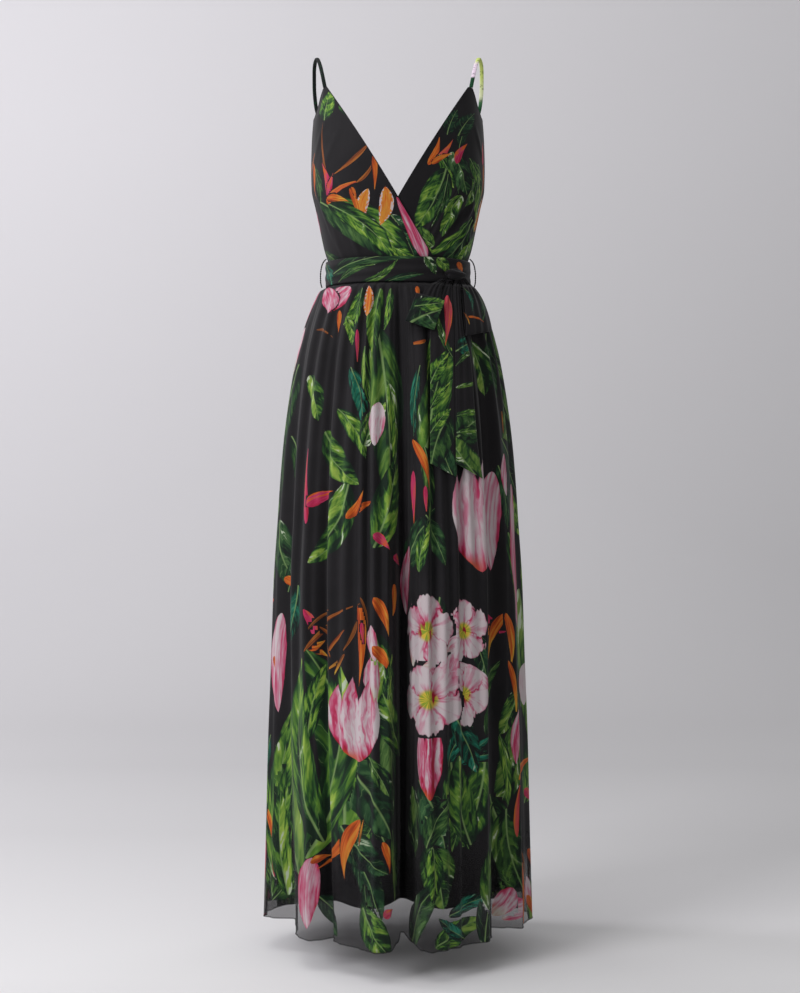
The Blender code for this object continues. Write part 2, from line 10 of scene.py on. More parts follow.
import bpy
import numpy as np
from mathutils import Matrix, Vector


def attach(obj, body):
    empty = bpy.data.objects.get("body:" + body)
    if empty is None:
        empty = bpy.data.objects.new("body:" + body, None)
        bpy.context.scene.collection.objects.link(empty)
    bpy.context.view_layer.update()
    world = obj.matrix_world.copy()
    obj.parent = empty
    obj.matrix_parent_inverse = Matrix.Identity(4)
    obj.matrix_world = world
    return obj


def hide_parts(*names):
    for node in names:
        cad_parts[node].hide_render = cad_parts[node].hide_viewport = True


# Sizes that the solids share
SOLID_WALL = 0.0012  # wall of the solid cloth, which the lining hangs clear of
SEAM = 0.0003  # gap between pieces that are sewn together
LENGTH = 1.450  # from the tops of the straps to the hem
LINING_LENGTH = 1.390
WAIST = -0.3670  # height of the waist seam
BELT_TOP = -0.3475
BELT_FOOT = -0.3885
BELT_INSIDE = 0.0034  # the belt's inner face, out from the outline
BELT_THICK = 0.0016
OVERLAP_LIFT = 0.0020  # how far the upper wrap panel stands out where it lies on the lower one
SIDE_SEAM_DEG = 82.0  # the bodice's side seams, a little forward of the sides
POINT_Z = -0.0630  # top of each wrap panel, where the strap starts
POINT_INNER_X = 0.1165  # half spacing of the neckline's two upper ends
NECK_SLOPE = 0.612  # sideways run of the neckline for each metre of drop
UNDERARM_Z = -0.1080  # top of the side seam
BACK_POINT = (0.122, -0.118)  # x and z of the back's upper points, where the straps end
BACK_V_Z = -0.2550  # bottom of the back's V
STRAP_RADII = (0.0032, 0.0012)  # half its width and half its thickness
STRAP_END = 0.0010  # from the panel's point up to the middle of the slanting strap end
KNOT = (0.0855, -0.3745)  # x and z of its middle
KNOT_SIZE = (0.0200, 0.0075, 0.0090)  # half its width, depth and height
KNOT_LOBE = 0.07  # how far its three soft lobes stand out, as a share of its size
FOLD_SPREAD_POWER = 0.8  # how fast the folds fan out below the waist

# Sizes of the visible cloth
CHIFFON = 0.00035
LINING = 0.00030
SASH = 0.0011  # the sash is doubled and pressed
HEM_ROLL = 0.0011  # radius of the rolled hem
EDGE_ROLL = 0.0006  # radius of the rolled edge on the bodice
SEAM_THREAD = 0.0005  # radius of a side seam


def table(names, rows, defaults=""):
    """Columns of numbers by name, from rows of text.  A short row ends in the last of the defaults."""
    names, defaults = names.split(), defaults.split()
    rows = [row.split() for row in rows.strip().splitlines()]
    rows = [row + defaults[len(defaults) + len(row) - len(names):] for row in rows]
    return dict(zip(names, np.array(rows, float).T))


def tables(names, text, defaults=""):
    """Tables by name: a block of the text is a table's name and then its rows."""
    blocks = [block.strip().split("\n", 1) for block in text.split("\n\n")]
    return {name: table(names, rows, defaults) for name, rows in blocks}


# Points of each grid: rows down the cloth, and columns round it or across it
SKIRT_ROWS = (30, 157)  # above and below GATHER_FOOT_Z
LINING_GRID = (62, 97)
FRONT_GRID = (25, 96, 121)  # rows above the underarm and below it, and columns
BACK_GRID = (81, 25, 45)  # rows, and columns under the armhole and under the V
BAND_GRID = (21, 300)
KNOT_GRID = (35, 72)
STRIP_GRID = (91, 29)
STRAP_GRID = (90, 18)
CARRIER_ROWS = 60

# The dress's outline at each height: half width, and how far the front and back stand from the
# middle.  A roundness of 1 is an ellipse, and less is squarer.
OUTLINE = table("z half_width front back roundness", """
-.05 .136 .096 .088 .8
-.09 .14 .106 .09 .82
-.1216 .144 .114 .091 .84
-.155 .1458 .12 .091 .86
-.19 .1465 .123 .09 .88
-.223 .1458 .12 .088 .9
-.257 .139 .112 .085 .92
-.2906 .1318 .103 .083 .94
-.3244 .1246 .097 .083 .95
-.3425 .119 .094 .083 .95
-.3475 .117 .092 .083 .96
-.367 .117 .092 .083 .96
-.388 .1178 .093 .084 .97
-.396 .1325 .106 .096 .98
-.412 .1412 .115 .105 1
-.443 .1538 .128 .117 1
-.4765 .164 .138 .126 1
-.51 .1722 .147 .133 1
-.578 .184 .161 .144 1
-.6455 .1927 .173 .153 1
-.713 .1986 .184 .161 1
-.7807 .203 .193 .168 1
-.882 .2096 .206 .178 1
-1.017 .214 .22 .189 1
-1.1525 .219 .232 .199 1
-1.2877 .222 .241 .207 1
-1.45 .2265 .25 .215 1
""")

# The skirt's fold lines, ridge and furrow by turns: where each stands round the waist and round the
# hem, in degrees, how far it lies inside the outline below the belt, halfway down and at the hem, and
# how far it lifts the hem, in millimetres.
FOLDS = tables("waist hem high middle low lift", """
skirt_front_cloth
-90 -90 4 4 5 3
-85 -86.5 0 0 0 4
-79 -82 3 4 12 6
-72 -75 6 22 50 8
-66 -63 3 16 40 4
-60 -55 0 2 26 0
-54 -50 6 6 21 0
-48 -44 0 0 19 0
-43 -41 6 8 32 1
-38 -38 7 17 52 2
-33 -33 1 4 42 1
-29 -28 6 8 36 0
-25 -23 0 2 30 0
-21.5 -19 7 8 26 0
-18.5 -15 1 2 17 0
-16 -12 7 7 10 0
-12.5 -9 0 0 1 0
-9 -6 8 9 4 0
-5.5 -3.5 2 3 13 0
-2.5 -.5 6 18 60 2
.5 2.5 13 42 122 5
3.5 5.5 10 38 118 5
6 8.5 3 16 66 2
8.5 10.5 1 4 18 0
13 13.5 0 0 0 0
17.5 17 7 9 6 0
21 20 0 1 6 0
25 23.5 6 8 16 0
28 27 1 2 14 0
31 31 7 10 24 0
35 35 1 3 26 0
38.5 38.5 6 6 20 0
43 42.5 0 0 15 0
47.5 48 3 12 26 1
51 53 8 26 42 3
55 60 6 24 52 5
60 65 0 6 34 3
65 70 6 3 8 0
71 75 0 6 12 1
77 79 6 8 8 2
84 85 0 0 0 3
90 90 4 4 5 3

skirt_back_cloth
90 90 4 4 5 3
95 95 0 0 0 2
101 101 6 6 8 0
105 105 0 0 2 0
109 109 7 14 26 2
115 116 0 3 8 0
121 121 6 9 14 0
127 127 0 0 2 0
133 134 7 16 44 4
139 142 1 5 20 1
145 148 6 8 12 0
151 153 0 0 0 0
157 160 7 12 30 2
163 167 1 4 22 0
169 171 6 10 30 1
175 175 0 1 8 0
180.5 180 7 14 40 3
186 185 1 3 14 0
192 190 6 7 6 0
198 196 0 0 0 0
204 203 7 18 52 4
210 211 1 6 26 1
216 216 6 8 12 0
222 222 0 0 2 0
228 228 7 12 28 2
234 234 0 3 10 0
240 241 6 14 36 3
247 249 1 4 12 1
254 254 6 8 8 1
260 259 1 4 7 2
265 265 0 0 0 3
270 270 4 4 5 3
""")
# Heights at which a fold's depth is given: at the belt's foot, below the belt, halfway, at the hem.
FOLD_HEIGHTS = (-0.3880, -0.4430, -0.8000, -LENGTH)
FOLD_SHARE_AT_BELT = 0.16  # of the depth below the belt
FOLD_WANDER_TURNS = 5.5  # radians of wander from waist to hem
FOLD_WANDER_DEG = 0.35
FOLD_WANDER_GAIN = 6  # it has grown to its full size at a sixth of the way down
FOLD_DEPTH_WANDER = 0.1
SKIRT_BETWEEN = 6  # points from one fold line to the next
LINING_BETWEEN = 4  # and as the lining feels them
LINING_REACH_DEG = 6  # how far to each side the lining feels a furrow of the skirt
LINING_LEVEL_DEG = 8  # how far from a side seam its depth is held level
LINING_EASE = table("z ease", f"""
{WAIST} .0003
-.45 .003
-.9 .006
-1.39 .008
""")
GATHERS = 46  # fine gathers under the waist seam of each half
GATHER_INSET_DEG = 4  # from the side seam to the first one
GATHER_STRAY_DEG = 0.9
GATHER_HEIGHT = (0.0008, 0.0021)
GATHER_HALF_DEG = (1.0, 1.8)
GATHER_REACH = (0.03, 0.11)
GATHER_FADE_POWER = 1.5
GATHER_FOOT_Z = -0.46  # the cloth's grid is closer above this height
# The bodice's soft pleats: angle at the waist and at the upper end, height of the upper end, how far
# they stand out above the belt, and their half width in degrees.
PLEATS = tables("waist top top_z height spread", """
bodice_over_cloth
-46 -60 -.25 .0022 5
-30 -42 -.24 .0026 4.5
-15 -29 -.235 .003 4.5
-1 -17 -.24 .003 4
12 -6 -.262 .0026 4

bodice_under_cloth
45 56 -.205 .0024 4
53 66 -.19 .0028 4
61 76 -.2 .0024 4
""")
PLEAT_SHARE_AT_BELT = 0.35
PLEAT_BELT_FADE = 0.020  # height above the belt over which a pleat gains its full depth
PLEAT_FADE_POWER = 0.7  # how fast it fades towards its upper end
OVERLAP_RAMP = 0.4  # share of the panel's width over which the overlap's lift grows
ARMHOLE = table("z x", f"""
-.1085 .14
-.09 .1326
-.075 .1283
{POINT_Z} .124
""")
# Listed creases: angle and height of one end, then of the other, how far each stands out and
# its half width, all in degrees and metres.
METRES_PER_DEG = 0.0021  # of the bodice's front
CREASE_FADE_POWER = 0.8
CREASES = tables("angle z to_angle to_z height width", """
bodice_over_cloth
-20 -.345 -44 -.205 .0016 .0045
-31 -.343 -58 -.19 .0013 .005
-6 -.346 -30 -.225 .0015 .0042
4 -.346 -13 -.255 .0011 .0036
-52 -.34 -74 -.21 .0012 .0052
-38 -.13 -60 -.215 .0007 .006
-55 -.118 -70 -.19 .0009 .0055
-26 -.346 -40 -.285 -.0008 .003
-12 -.346 -24 -.29 -.0008 .0028
-66 -.15 -80 -.25 .0008 .005

bodice_under_cloth
21 -.345 52 -.18 .0033 .0042
26 -.345 63 -.205 .0036 .0046
16 -.346 38 -.215 .0024 .0036
33 -.345 72 -.235 .0032 .0046
41 -.345 79 -.262 .0027 .0044
50 -.346 80 -.29 .0021 .004
30 -.3 50 -.22 -.0018 .0032
38 -.31 62 -.24 -.0018 .0034
60 -.12 76 -.19 .0014 .0052
44 -.14 52 -.18 .0009 .005

bodice_back_cloth
150 -.345 158 -.3 .001 .004
205 -.345 196 -.305 .001 .0042
128 -.344 116 -.25 .0012 .005
232 -.344 243 -.245 .0012 .0052
108 -.342 98 -.21 .001 .005
252 -.342 262 -.215 .001 .0048
172 -.346 176 -.318 .0007 .0034
190 -.346 187 -.32 .0007 .0034

skirt_front_cloth
-38.5 -.37 -36 -1.34 -.0038 .0038
-16.5 -.37 -12.5 -1.12 -.0038 .0034
-27 -.37 -23 -.76 -.0018 .0028
-6 -.37 -4.5 -.86 -.002 .0028
9 -.37 8.5 -.8 -.0022 .0028
18 -.38 14.5 -1.2 -.0038 .0034
34 -.38 27 -1.16 -.004 .0038
50 -.44 46 -1.28 -.0034 .0038
-55 -.42 -52 -1.22 -.0034 .004
-46 -.39 -43 -1.3 .003 .012
-32 -.39 -29 -1.2 .0026 .01
-11 -.4 -8.5 -1.05 .0022 .008
13.5 -.4 11.5 -1.1 .0026 .008
26 -.4 21 -1.15 .003 .011
42 -.42 37 -1.22 .003 .012
""")
# Folds along the belt: distance down its width as a share, and how far each stands out.
BELT_FOLDS = table("down out", """
0 0
.25 .0009
.45 .0002
.72 .0011
1 0
""")
BELT_KNOT_REACH_DEG = 24.0  # how far from the knot the sash's folds draw together
BELT_FOLD_DRIFT = 0.10
BELT_RIDGES = 2.3
BELT_RIDGE = 0.0011
BELT_RIDGE_SHARES = (0.75, 0.25, 0.6)  # of its height: even, wandering, and more at the knot
BELT_RIDGE_BEND = (1.3, 0.7)  # radians that the ridges bend by round the body, and where it starts
BELT_OUT_SHARE = 0.7  # of the folds' own height
BELT_SWAY = 0.0012
KNOT_FOLD = 0.13
KNOT_WINDS = 5
KNOT_TWIST = (2.2, 0.5, 1.1)  # radians of its first wave, where that starts, and of its second
# A strip of the sash: where its two long edges run, and how far its outer face lies above the
# outline, from the knot onwards.
STRIPS = tables("left_x left_z right_x right_z lift", """
sash_loop_left
.065 -.3842 .073 -.3842 .0135
.048 -.3965 .0695 -.399 .0072
.037 -.415 .068 -.422 .0052
.024 -.437 .063 -.45 .005
.015 -.451 .058 -.466 .0056
.0115 -.4565 .056 -.4715 .0078
.0135 -.452 .0575 -.4675 .01
.019 -.438 .062 -.452 .0106
.028 -.411 .0715 -.423 .011

sash_loop_right
.0915 -.3828 .1 -.379 .0155
.1 -.4 .118 -.395 .012
.103 -.425 .132 -.415 .011
.105 -.455 .142 -.442 .0105
.1065 -.474 .147 -.461 .0095
.107 -.48 .1485 -.467 .0072
.1065 -.475 .1475 -.462 .0048
.105 -.455 .142 -.442 .004
.103 -.425 .131 -.415 .004
.101 -.4 .115 -.397 .0042

sash_tail_rear
.0765 -.3842 .0845 -.3842 .0095
.075 -.394 .086 -.394 .0038
.07 -.406 .0885 -.406 .003
.059 -.435 .0905 -.435 .0028
.052 -.48 .0925 -.48 .0028
.0515 -.55 .093 -.55 .003
.051 -.62 .093 -.625 .0034
.0505 -.688 .0925 -.71 .004

sash_tail_front
.086 -.3842 .095 -.3842 .013
.087 -.4 .099 -.4 .0058
.0895 -.435 .101 -.435 .0052
.091 -.47 .104 -.47 .005
.0912 -.52 .116 -.52 .005
.091 -.59 .1205 -.59 .0052
.0905 -.65 .125 -.656 .006
.09 -.688 .132 -.712 .007
""")
# Ridges along a loop and a tail: first and last place as shares of its width, half width as a share,
# and height in metres.
RIDGES = {
    "folded": ((0.30, 0.22, 0.09, 0.0022), (0.55, 0.50, 0.08, 0.0026), (0.80, 0.78, 0.07, 0.0020)),
    "hung": ((0.25, 0.18, 0.10, 0.0024), (0.60, 0.52, 0.10, 0.0028), (0.88, 0.90, 0.07, 0.0018)),
}
RIDGE_FADE = 0.65  # share of its height that a ridge loses by the strip's end
# The wearer's left strap from the wrap panel's point over the shoulder to the back.
STRAP_ROUTE = table("x y z", f"""
.1212 -.0548 {POINT_Z + STRAP_END}
.124 -.05 -.048
.128 -.039 -.029
.1325 -.023 -.012
.1372 -.002 -.0014
.1408 .019 -.003
.1432 .035 -.016
.1435 .044 -.04
.1415 .05 -.068
.134 .051 -.096
.123 .052 -.1154
""")
# The wearer's left thread carrier, from above the belt to below it.
CARRIER_ROUTE = table("x z", """
.1215 -.34
.126 -.345
.1294 -.354
.131 -.368
.1306 -.38
.1285 -.388
""")
CARRIER_TWISTS = 9
PLY_RADIUS = 0.00070

# The print
VEINS = 8.0  # side veins on each half of a leaf
VEIN_SLANT = 0.27
MOTIF_MARGIN = 1.02  # how far past its outline a motif is laid on faces
MOTIF_REACH = 0.51  # and how far along it from its middle, as a share of its length
SEED_STEP = 1.7  # between one motif's noise and the next one's
LAYERS = {
    "leaf_deep": "leaf",
    "leaf_mid": "leaf",
    "petal": "petal",
    "bloom": "bloom",
    "spear": "spear",
    "leaf_front": "leaf",
}
# A motif's half width is the sine of pi times s to the first power, to the second power.
SWELLING = {"leaf": (0.78, 0.72), "petal": (1.2, 0.62), "bloom": (0.9, 0.45), "spear": (0.55, 1.15)}
LOWER_LAYERS = ("leaf_deep", "leaf_mid")
MOST_TAKEN = 0.12  # share of a filling motif that may lie over others
SHOWN_REACH = 0.006  # how near the cloth has to show to a place, and how far off it may be
MOST_AWAY = 0.03
SIDE_SHARE = 0.88  # how squarely a filling motif faces its side
BLACK_BEHIND = 0.40  # how much of the black behind a sheer print shows in its colours
MOST_STRETCH = 1.7  # of a motif where the cloth turns away
COVER_OF_GROUND = 0.42  # of the skirt's bare black chiffon
COVER_OF_PRINT = 0.84
GATHERED_COVER = 0.96  # above the second of these heights
THIN_FROM = (-1.38, -1.28)
GROUND = (0.005, 0.0044, 0.0054)
GROUND_LIGHT = (0.01, 0.0086, 0.01)
DEEP_SHADE = (0.0015, 0.006, 0.0045)
DEEP_GREEN = (0.0045, 0.045, 0.016)
DEEP_LIGHT = (0.045, 0.15, 0.055)
LEAF_SHADE = (0.0028, 0.02, 0.007)
LEAF_GREEN = (0.02, 0.09, 0.015)
LEAF_LIGHT = (0.125, 0.29, 0.03)
LIME = (0.4, 0.58, 0.08)
TEAL = (0.001, 0.12, 0.07)
TEAL_LIGHT = (0.03, 0.3, 0.19)
LEAF_PALE = (0.62, 0.72, 0.52)
RIB = (0.24, 0.38, 0.13)
PETAL_WHITE = (0.74, 0.64, 0.66)
PETAL_PINK = (0.68, 0.29, 0.39)
PETAL_ROSE = (0.62, 0.055, 0.16)
PETAL_RED = (0.42, 0.006, 0.03)
MAGENTA = (0.56, 0.018, 0.095)
THROAT_GREEN = (0.3, 0.42, 0.03)
THROAT_YELLOW = (0.8, 0.58, 0.06)
ORANGE_DARK = (0.32, 0.035, 0.006)
ORANGE = (0.7, 0.12, 0.01)
AMBER = (0.76, 0.3, 0.035)
TWIG_DARK = (0.09, 0.02, 0.006)
TWIG = (0.42, 0.13, 0.02)
LINING_BLACK = (0.0045, 0.0042, 0.0048)
LINING_GREY = (0.007, 0.0065, 0.0072)
THREAD_BLACK = (0.008, 0.008, 0.008)
STRAP_LILAC = (0.68, 0.56, 0.66)
STRAP_LIME = (0.52, 0.62, 0.16)
STRAP_CREAM = (0.68, 0.72, 0.46)
STRAP_FOOT_Z = -0.12

# A layout's motifs: where the root and the tip show, in millimetres across from the middle and down
# from the straps' tops; width in millimetres; hue; how pale; bow to one side as a share of the length;
# how many spread from the root and over how many degrees.
MOTIF = "across down to_across to_down width hue pale bend count sweep"
MOTIF_DEFAULTS = "0 .05 1 0"
LAYOUTS = {
    "skirt_front_cloth": """
leaf_deep
-190 425 -172 565 32 2 0 .08
-168 520 -198 665 36 .25 0 -.06
-180 640 -158 785 38 .4 .2 .1
-202 780 -172 905 38 .2 0 -.08
-166 885 -194 990 32 2
150 470 166 578 32 .2 0 -.06
180 560 160 695 36 .4 .2 .08
168 690 188 795 30 .1
186 800 208 945 28 .7
-36 465 -12 748 76 .55 .6 .03
44 668 86 500 72 .75 .3 -.05
-76 720 -170 848 60 .75 .7 .12
-92 1300 -155 985 92 1 .3 -.08
-165 1350 -206 1080 78 .6 .1 .06
-108 1146 -16 1276 84 .15 0 .08
144 1160 104 1296 68 .75 .5 .06
198 1115 164 1262 48 .5 .4 .06
182 1252 208 1396 48 .45 .5 -.05
154 1225 178 1394 38 .35 .3
-34 955 -4 1104 56 .65 .8 .04
48 1282 72 1386 74 .5 .2 .03
-76 1298 -22 1402 46 .1
-210 1414 -170 1340 22 .4 0 .05 3 64
-60 1384 -8 1462 48 .75 .3 -.05
64 1444 128 1412 38 .7 0 .06
30 1186 64 1292 46 .1
-12 1096 -2 1262 44 .3 0 .04
92 1090 140 1180 46 2
62 900 22 990 40 .2 0 .08
120 950 150 1040 34 .1
-122 1380 -70 1440 36 .1
-204 1380 -176 1110 60 .8 .3
-20 1180 -92 1150 40 .15 0 .08
-96 1262 -22 1330 52 .1 0 -.06
18 1210 74 1290 56 .15
88 1160 124 1300 54 .65 .5 -.04
150 1130 196 1010 30 .35 .1
206 1390 176 1290 40 .4 .2
-194 330 -150 520 30 .2
-186 900 -150 820 26 .1
-24 1460 -60 1350 42 .2
20 1456 70 1340 40 .25 .1
142 1454 168 1340 40 .1
12 860 50 760 34 .15
40 770 84 850 36 .2

leaf_mid
-60 400 -95 462 22 1 0 .08
-62 414 -74 478 17 .9 0 -.05
-88 448 -78 496 18 .9 .1
-26 402 -42 518 36 .7 .2 -.05
-10 402 -22 472 15 1 0 .04
-150 542 -118 618 38 .75 .2 .08
-98 600 -44 680 32 .9 0 .08
-118 636 -38 722 50 .75 .2 -.08
-44 822 0 676 66 1 .3 -.05
126 484 152 575 30 .6 .6
43 662 56 784 30 .45 .1
84 1168 142 1118 17 2 0 .06 3 56
-16 1196 -60 1284 38 .8 .1 .06
-80 532 -64 626 24 2
30 530 18 645 17 2 0 -.03
54 480 42 556 15 1 0 .03
-58 498 -48 596 16 .6 0 -.04
86 1400 148 1376 24 2 0 .06
92 690 122 600 26 .4 .2
8 1156 -34 1050 44 .8 .5
100 1180 90 1300 30 .5
-150 1130 -120 1010 34 1
-200 1240 -160 1190 34 .9 .3
198 1060 176 1130 28 .6 .2
-4 1262 10 1380 26 .6 0 .04
18 1200 26 1310 20 .4
-152 1320 -104 1010 52 .95 .2 -.06
-196 1300 -160 1150 36 .95 .4
-16 1280 -40 1190 30 .3
40 1290 78 1210 30 .3 .1
150 1400 190 1240 34 .55 .3
-14 1450 -42 1380 30 .8 .3
24 1300 12 1230 22 .2
-50 660 -14 590 36 .8 .9
110 1440 60 1400 22 2

petal
-120 440 -104 388 26 .75 0 .06 2 34
-52 396 -54 448 17 2 0 .04
184 740 180 670 12 .4 0 .04
204 960 196 720 26 .5 0 .04
-38 1068 -42 990 34 .2 .3
-34 1000 -44 944 24 .2
-150 1432 -144 1318 36 .7
160 1426 214 1394 40 .4 .3 .05 2 40
-200 1100 -194 935 36 .45
86 1000 128 1062 36 .15
196 1180 206 1090 20 .7
8 930 16 820 20 .6
156 862 158 700 40 .5
-36 660 -28 590 36 -.1
82 1000 126 960 34 .1 .2
30 1012 86 1012 34 .1 .2
20 1010 22 930 20 .1 .2
84 1060 90 990 30 .15 .2

bloom
138 862 128 656 112 .36 0 .03
-66 1158 -70 1022 66 .75 0 .04
54 1216 54 1086 56 .8 0 .02
112 1004 104 906 92 .3 1 0
112 1104 104 1008 90 .3 1 0
54 1010 50 896 104 .25 1 0
56 1116 52 1004 104 .25 1 0

spear
-67 470 -66 530 7 1.1 0 0
-138 466 -96 486 5 .2 0 .14
-98 436 -100 474 7.8 .5 0 0
77 402 86 468 17 .95 .3 .04
31 398 35 420 8.6 .6 0 0
68 402 72 420 8.6 .6 0 0
90 402 93 432 9.4 .6 0 0
50 488 24 494 6.2 .4 0 .1
-154 785 -150 655 13 1.1 0 .04
-152 756 -108 732 19 1.1 0 .1
-88 776 -42 734 15 .6 0 .08 2 30
18 650 44 734 12 .6 0 .06
20 700 21 790 7.8 1.1 0 0
42 724 44 770 7.8 1.1 0 0
-43 800 -12 826 17 1.1
0 834 22 852 14 1.1 0 0
-192 876 -164 896 16 .6
-157 922 -146 986 11 1.1 0 .1
-148 957 -68 922 5 .2 0 .14
-66 908 -66 1042 12 .55 0 .03
-70 938 -90 992 5 .2
-88 952 -134 1034 5.6 .35 0 -.1
-152 984 -112 984 14 .6 .6 .08 2 44
-88 990 -124 1030 6.2 .2 .8 .05 2 24
-60 940 -57 976 7 1.1 0 0
-38 900 -10 964 20 .55 .2 .08
-44 976 -20 1020 17 .6
0 880 -4 936 11 .5 .5
180 962 112 912 22 1.1 0 .06
180 932 142 1018 16 .7 .8 .08 3 60
-66 1248 -112 1352 17 .55 .1 .08 2 26
-136 1326 -98 1316 12 .75 0 .08
-18 1280 -6 1330 13 .7
-20 1394 4 1386 16 1 0 0
-66 1290 -60 1245 3.1 .2 1 0
-156 990 -60 906 7 .3 0 .1
-120 950 -76 1010 6 .3 0 .1
-64 900 -52 950 4.3 .2
-180 1010 -186 880 3.7 .2
186 1010 196 1110 7.8 .6 .6
196 1300 206 1200 9.4 .9

leaf_front
-114 1294 -150 1000 62 1.15 .6 .1
120 1294 96 1150 50 .7 .7
-16 560 -4 690 26 .9 .7 .06
62 620 84 540 26 1 .1
-182 1100 -188 1240 30 .9 .2
-188 1404 -200 1230 40 1.05 .4
170 1130 186 1250 20 .8 .3
28 860 44 780 18 1 .3
60 1290 60 1376 22 1 .3 .03
-50 1150 -14 1210 26 .4
-20 1060 -6 990 22 .9 .6
""",
    "bodice_over_cloth": """
leaf_deep
-50 272 -30 336 20 .1
-146 188 -130 262 14 .3 .2
-14 282 26 352 34 0
-148 340 -104 362 20 2
-134 252 -40 356 40 .25 .2 .06

leaf_mid
-127 120 -115 70 26 1.1
-122 250 -16 356 32 1.2 .3 .1
-24 318 26 352 22 1.2 .2 -.08
-136 330 -96 362 14 .3

petal
-60 290 -53 240 19 2 0 .1
-32 298 -24 238 23 2 0 -.08
0 254 50 356 27 .65 0 .04

spear
-122 214 -130 120 4 .2 0 .06
-118 250 -130 190 11 1.1 0 -.05
-119 246 -113 210 9 1.1 0 .06
-46 170 -114 216 8 .3 0 .06
-122 251 -72 226 8 .8 0 .1
-74 230 -44 186 6 .3 0 -.14
-122 248 -96 270 12 .6 .9 .06 3 44
-84 238 -68 300 10 .6 .9 .06
-80 236 -72 256 6 .5 .2
-40 186 -39 246 9 .5 0 .03

leaf_front
-120 258 -34 352 28 1.3 .5 .08
""",
    "bodice_under_cloth": """
leaf_deep
86 150 104 106 24 0
106 170 128 112 18 .1
64 330 22 292 30 .5 .1
138 190 136 300 20 .6 .3
130 280 66 358 34 .2 .2
94 178 108 244 28 .2 .1

leaf_mid
84 206 34 302 46 .75 .4 .06
72 184 98 236 22 .8 .3
110 246 78 314 27 .7 .5 -.06
136 300 92 360 18 .9 .3
132 216 118 262 18 .6 .4
60 352 40 318 22 .8 .1

spear
55 202 74 152 12 .6 .1 -.08
64 198 97 156 11 .9 0 -.05
60 200 97 180 9 .55 .3
101 196 122 160 13 1.1 0 .1
148 190 150 146 7 1.1

leaf_front
128 276 58 352 13 1.1 .3 .06
88 214 60 300 16 .3 .9
122 322 92 360 14 1 .4
""",
    "sash_band": """
leaf_deep
-122 380 -6 348 24 .2 .3 .12
-126 350 -108 392 18 2
48 346 66 376 18 .3 1
-30 394 40 376 12 .1 .2

leaf_mid
-70 392 -8 352 12 .6 .5 -.12
-104 386 -54 360 11 .4 .6 .1
70 348 90 372 20 .7

spear
106 352 114 374 10 .6 .2 0
""",
    "sash_loop_left": """
leaf_deep
0 466 78 434 66 .2 .5

leaf_front
28 434 92 424 26 .75 0 0
""",
    "sash_loop_right": """
spear
108 448 146 456 4 .5 0 .1
104 440 114 464 3 .2 1 .1

leaf_deep
110 398 122 438 8 2 .3 .16
140 400 146 452 14 .1 0 .1
""",
    "sash_tail_rear": """
leaf_deep
56 640 92 500 56 .75 .4 .06
86 610 56 706 50 .3 .2 -.05
92 712 70 640 30 .1

leaf_mid
92 516 64 440 12 .5 .9 .06
54 560 84 510 28 1.1 .3

spear
84 412 78 500 16 .95

leaf_front
56 640 90 600 22 1.1 .4
54 600 88 556 16 1 .6
""",
    "sash_tail_front": """
leaf_deep
84 506 128 486 30 2 .2
84 648 132 612 60 .3 .7
134 716 90 640 44 .5 .6

leaf_mid
84 530 130 500 9 .5 1 .1
82 612 134 604 12 .9 1
82 566 132 558 8 .6 .4
82 640 134 634 12 .6 1
""",
}
PRINTS = {piece: tables(MOTIF, text, MOTIF_DEFAULTS) for piece, text in LAYOUTS.items()}

# The studio
BACKDROP_Y = 5.2
FLOOR_FRONT_Y = -8.0
BEND = 2.4  # radius of the curve from floor to wall
FLOOR_Z = -1.5
WALL_RISES = (3.0, 7.0)  # above the floor
PAPER_HALF_WIDTH = 9.0
PAPER = (0.72, 0.715, 0.72)
# Painted light and shade on the paper: its colour is scaled at places along the sheet, darker on the floor
# behind the dress and lighter up the curve and the wall, in place of how the lamps fall
PAPER_RUN = (-0.2, 0.4, 1.0, 2.0, 4.0, 5.3, 7.2)  # along the sheet, m: from the front, up the wall
PAPER_PAINTED_SHADE = (1.0, 0.86, 0.74, 0.68, 0.82, 0.92, 1.1)
# Each light's place, aim, size, power and colour
LIGHTS = {
    "key": ((-2.7, -2.7, 0.8), (0, 0, -0.7), 1.6, 100, (1, 0.985, 1.02)),
    "fill": ((2.4, -3.2, -0.2), (0, 0, -0.8), 2.4, 11, (1, 1, 0.96)),
    "top": ((-0.8, -0.6, 1.9), (0, 0, -0.5), 2.0, 30, (1, 1, 1)),
    "wash": ((-3.4, 0.8, 1.0), (-0.6, BACKDROP_Y, 0.3), 2.0, 120, (1, 0.97, 1.04)),
    "rear_left": ((2.2, 2.4, 0.9), (0, 0, -0.7), 1.4, 13, (1, 1, 1)),
    "rear_right": ((-2.2, 2.4, 0.9), (0, 0, -0.7), 1.4, 13, (1, 1, 1)),
}
SKY = (0.80, 0.80, 0.81, 1)
SKY_STRENGTH = 0.38
CAMERA = (0.0034, -3.0, -0.741)
LENS = 64.35

# Each piece and the solid that it stands for
REPLACES = dict(row.split() for row in """
skirt_front_cloth skirt_front
skirt_back_cloth skirt_back
lining_front_cloth lining_front
lining_back_cloth lining_back
bodice_over_cloth bodice_front_over
bodice_under_cloth bodice_front_under
bodice_back_cloth bodice_back
sash_band belt_band
sash_knot belt_knot
sash_loop_left belt_loop_end
sash_loop_right belt_loop
sash_tail_rear belt_tail_rear
sash_tail_front belt_tail_front
strap_left_rouleau strap_left
strap_right_rouleau strap_right
carrier_left_a thread_carrier_left
carrier_right_a thread_carrier_right
""".strip().splitlines())


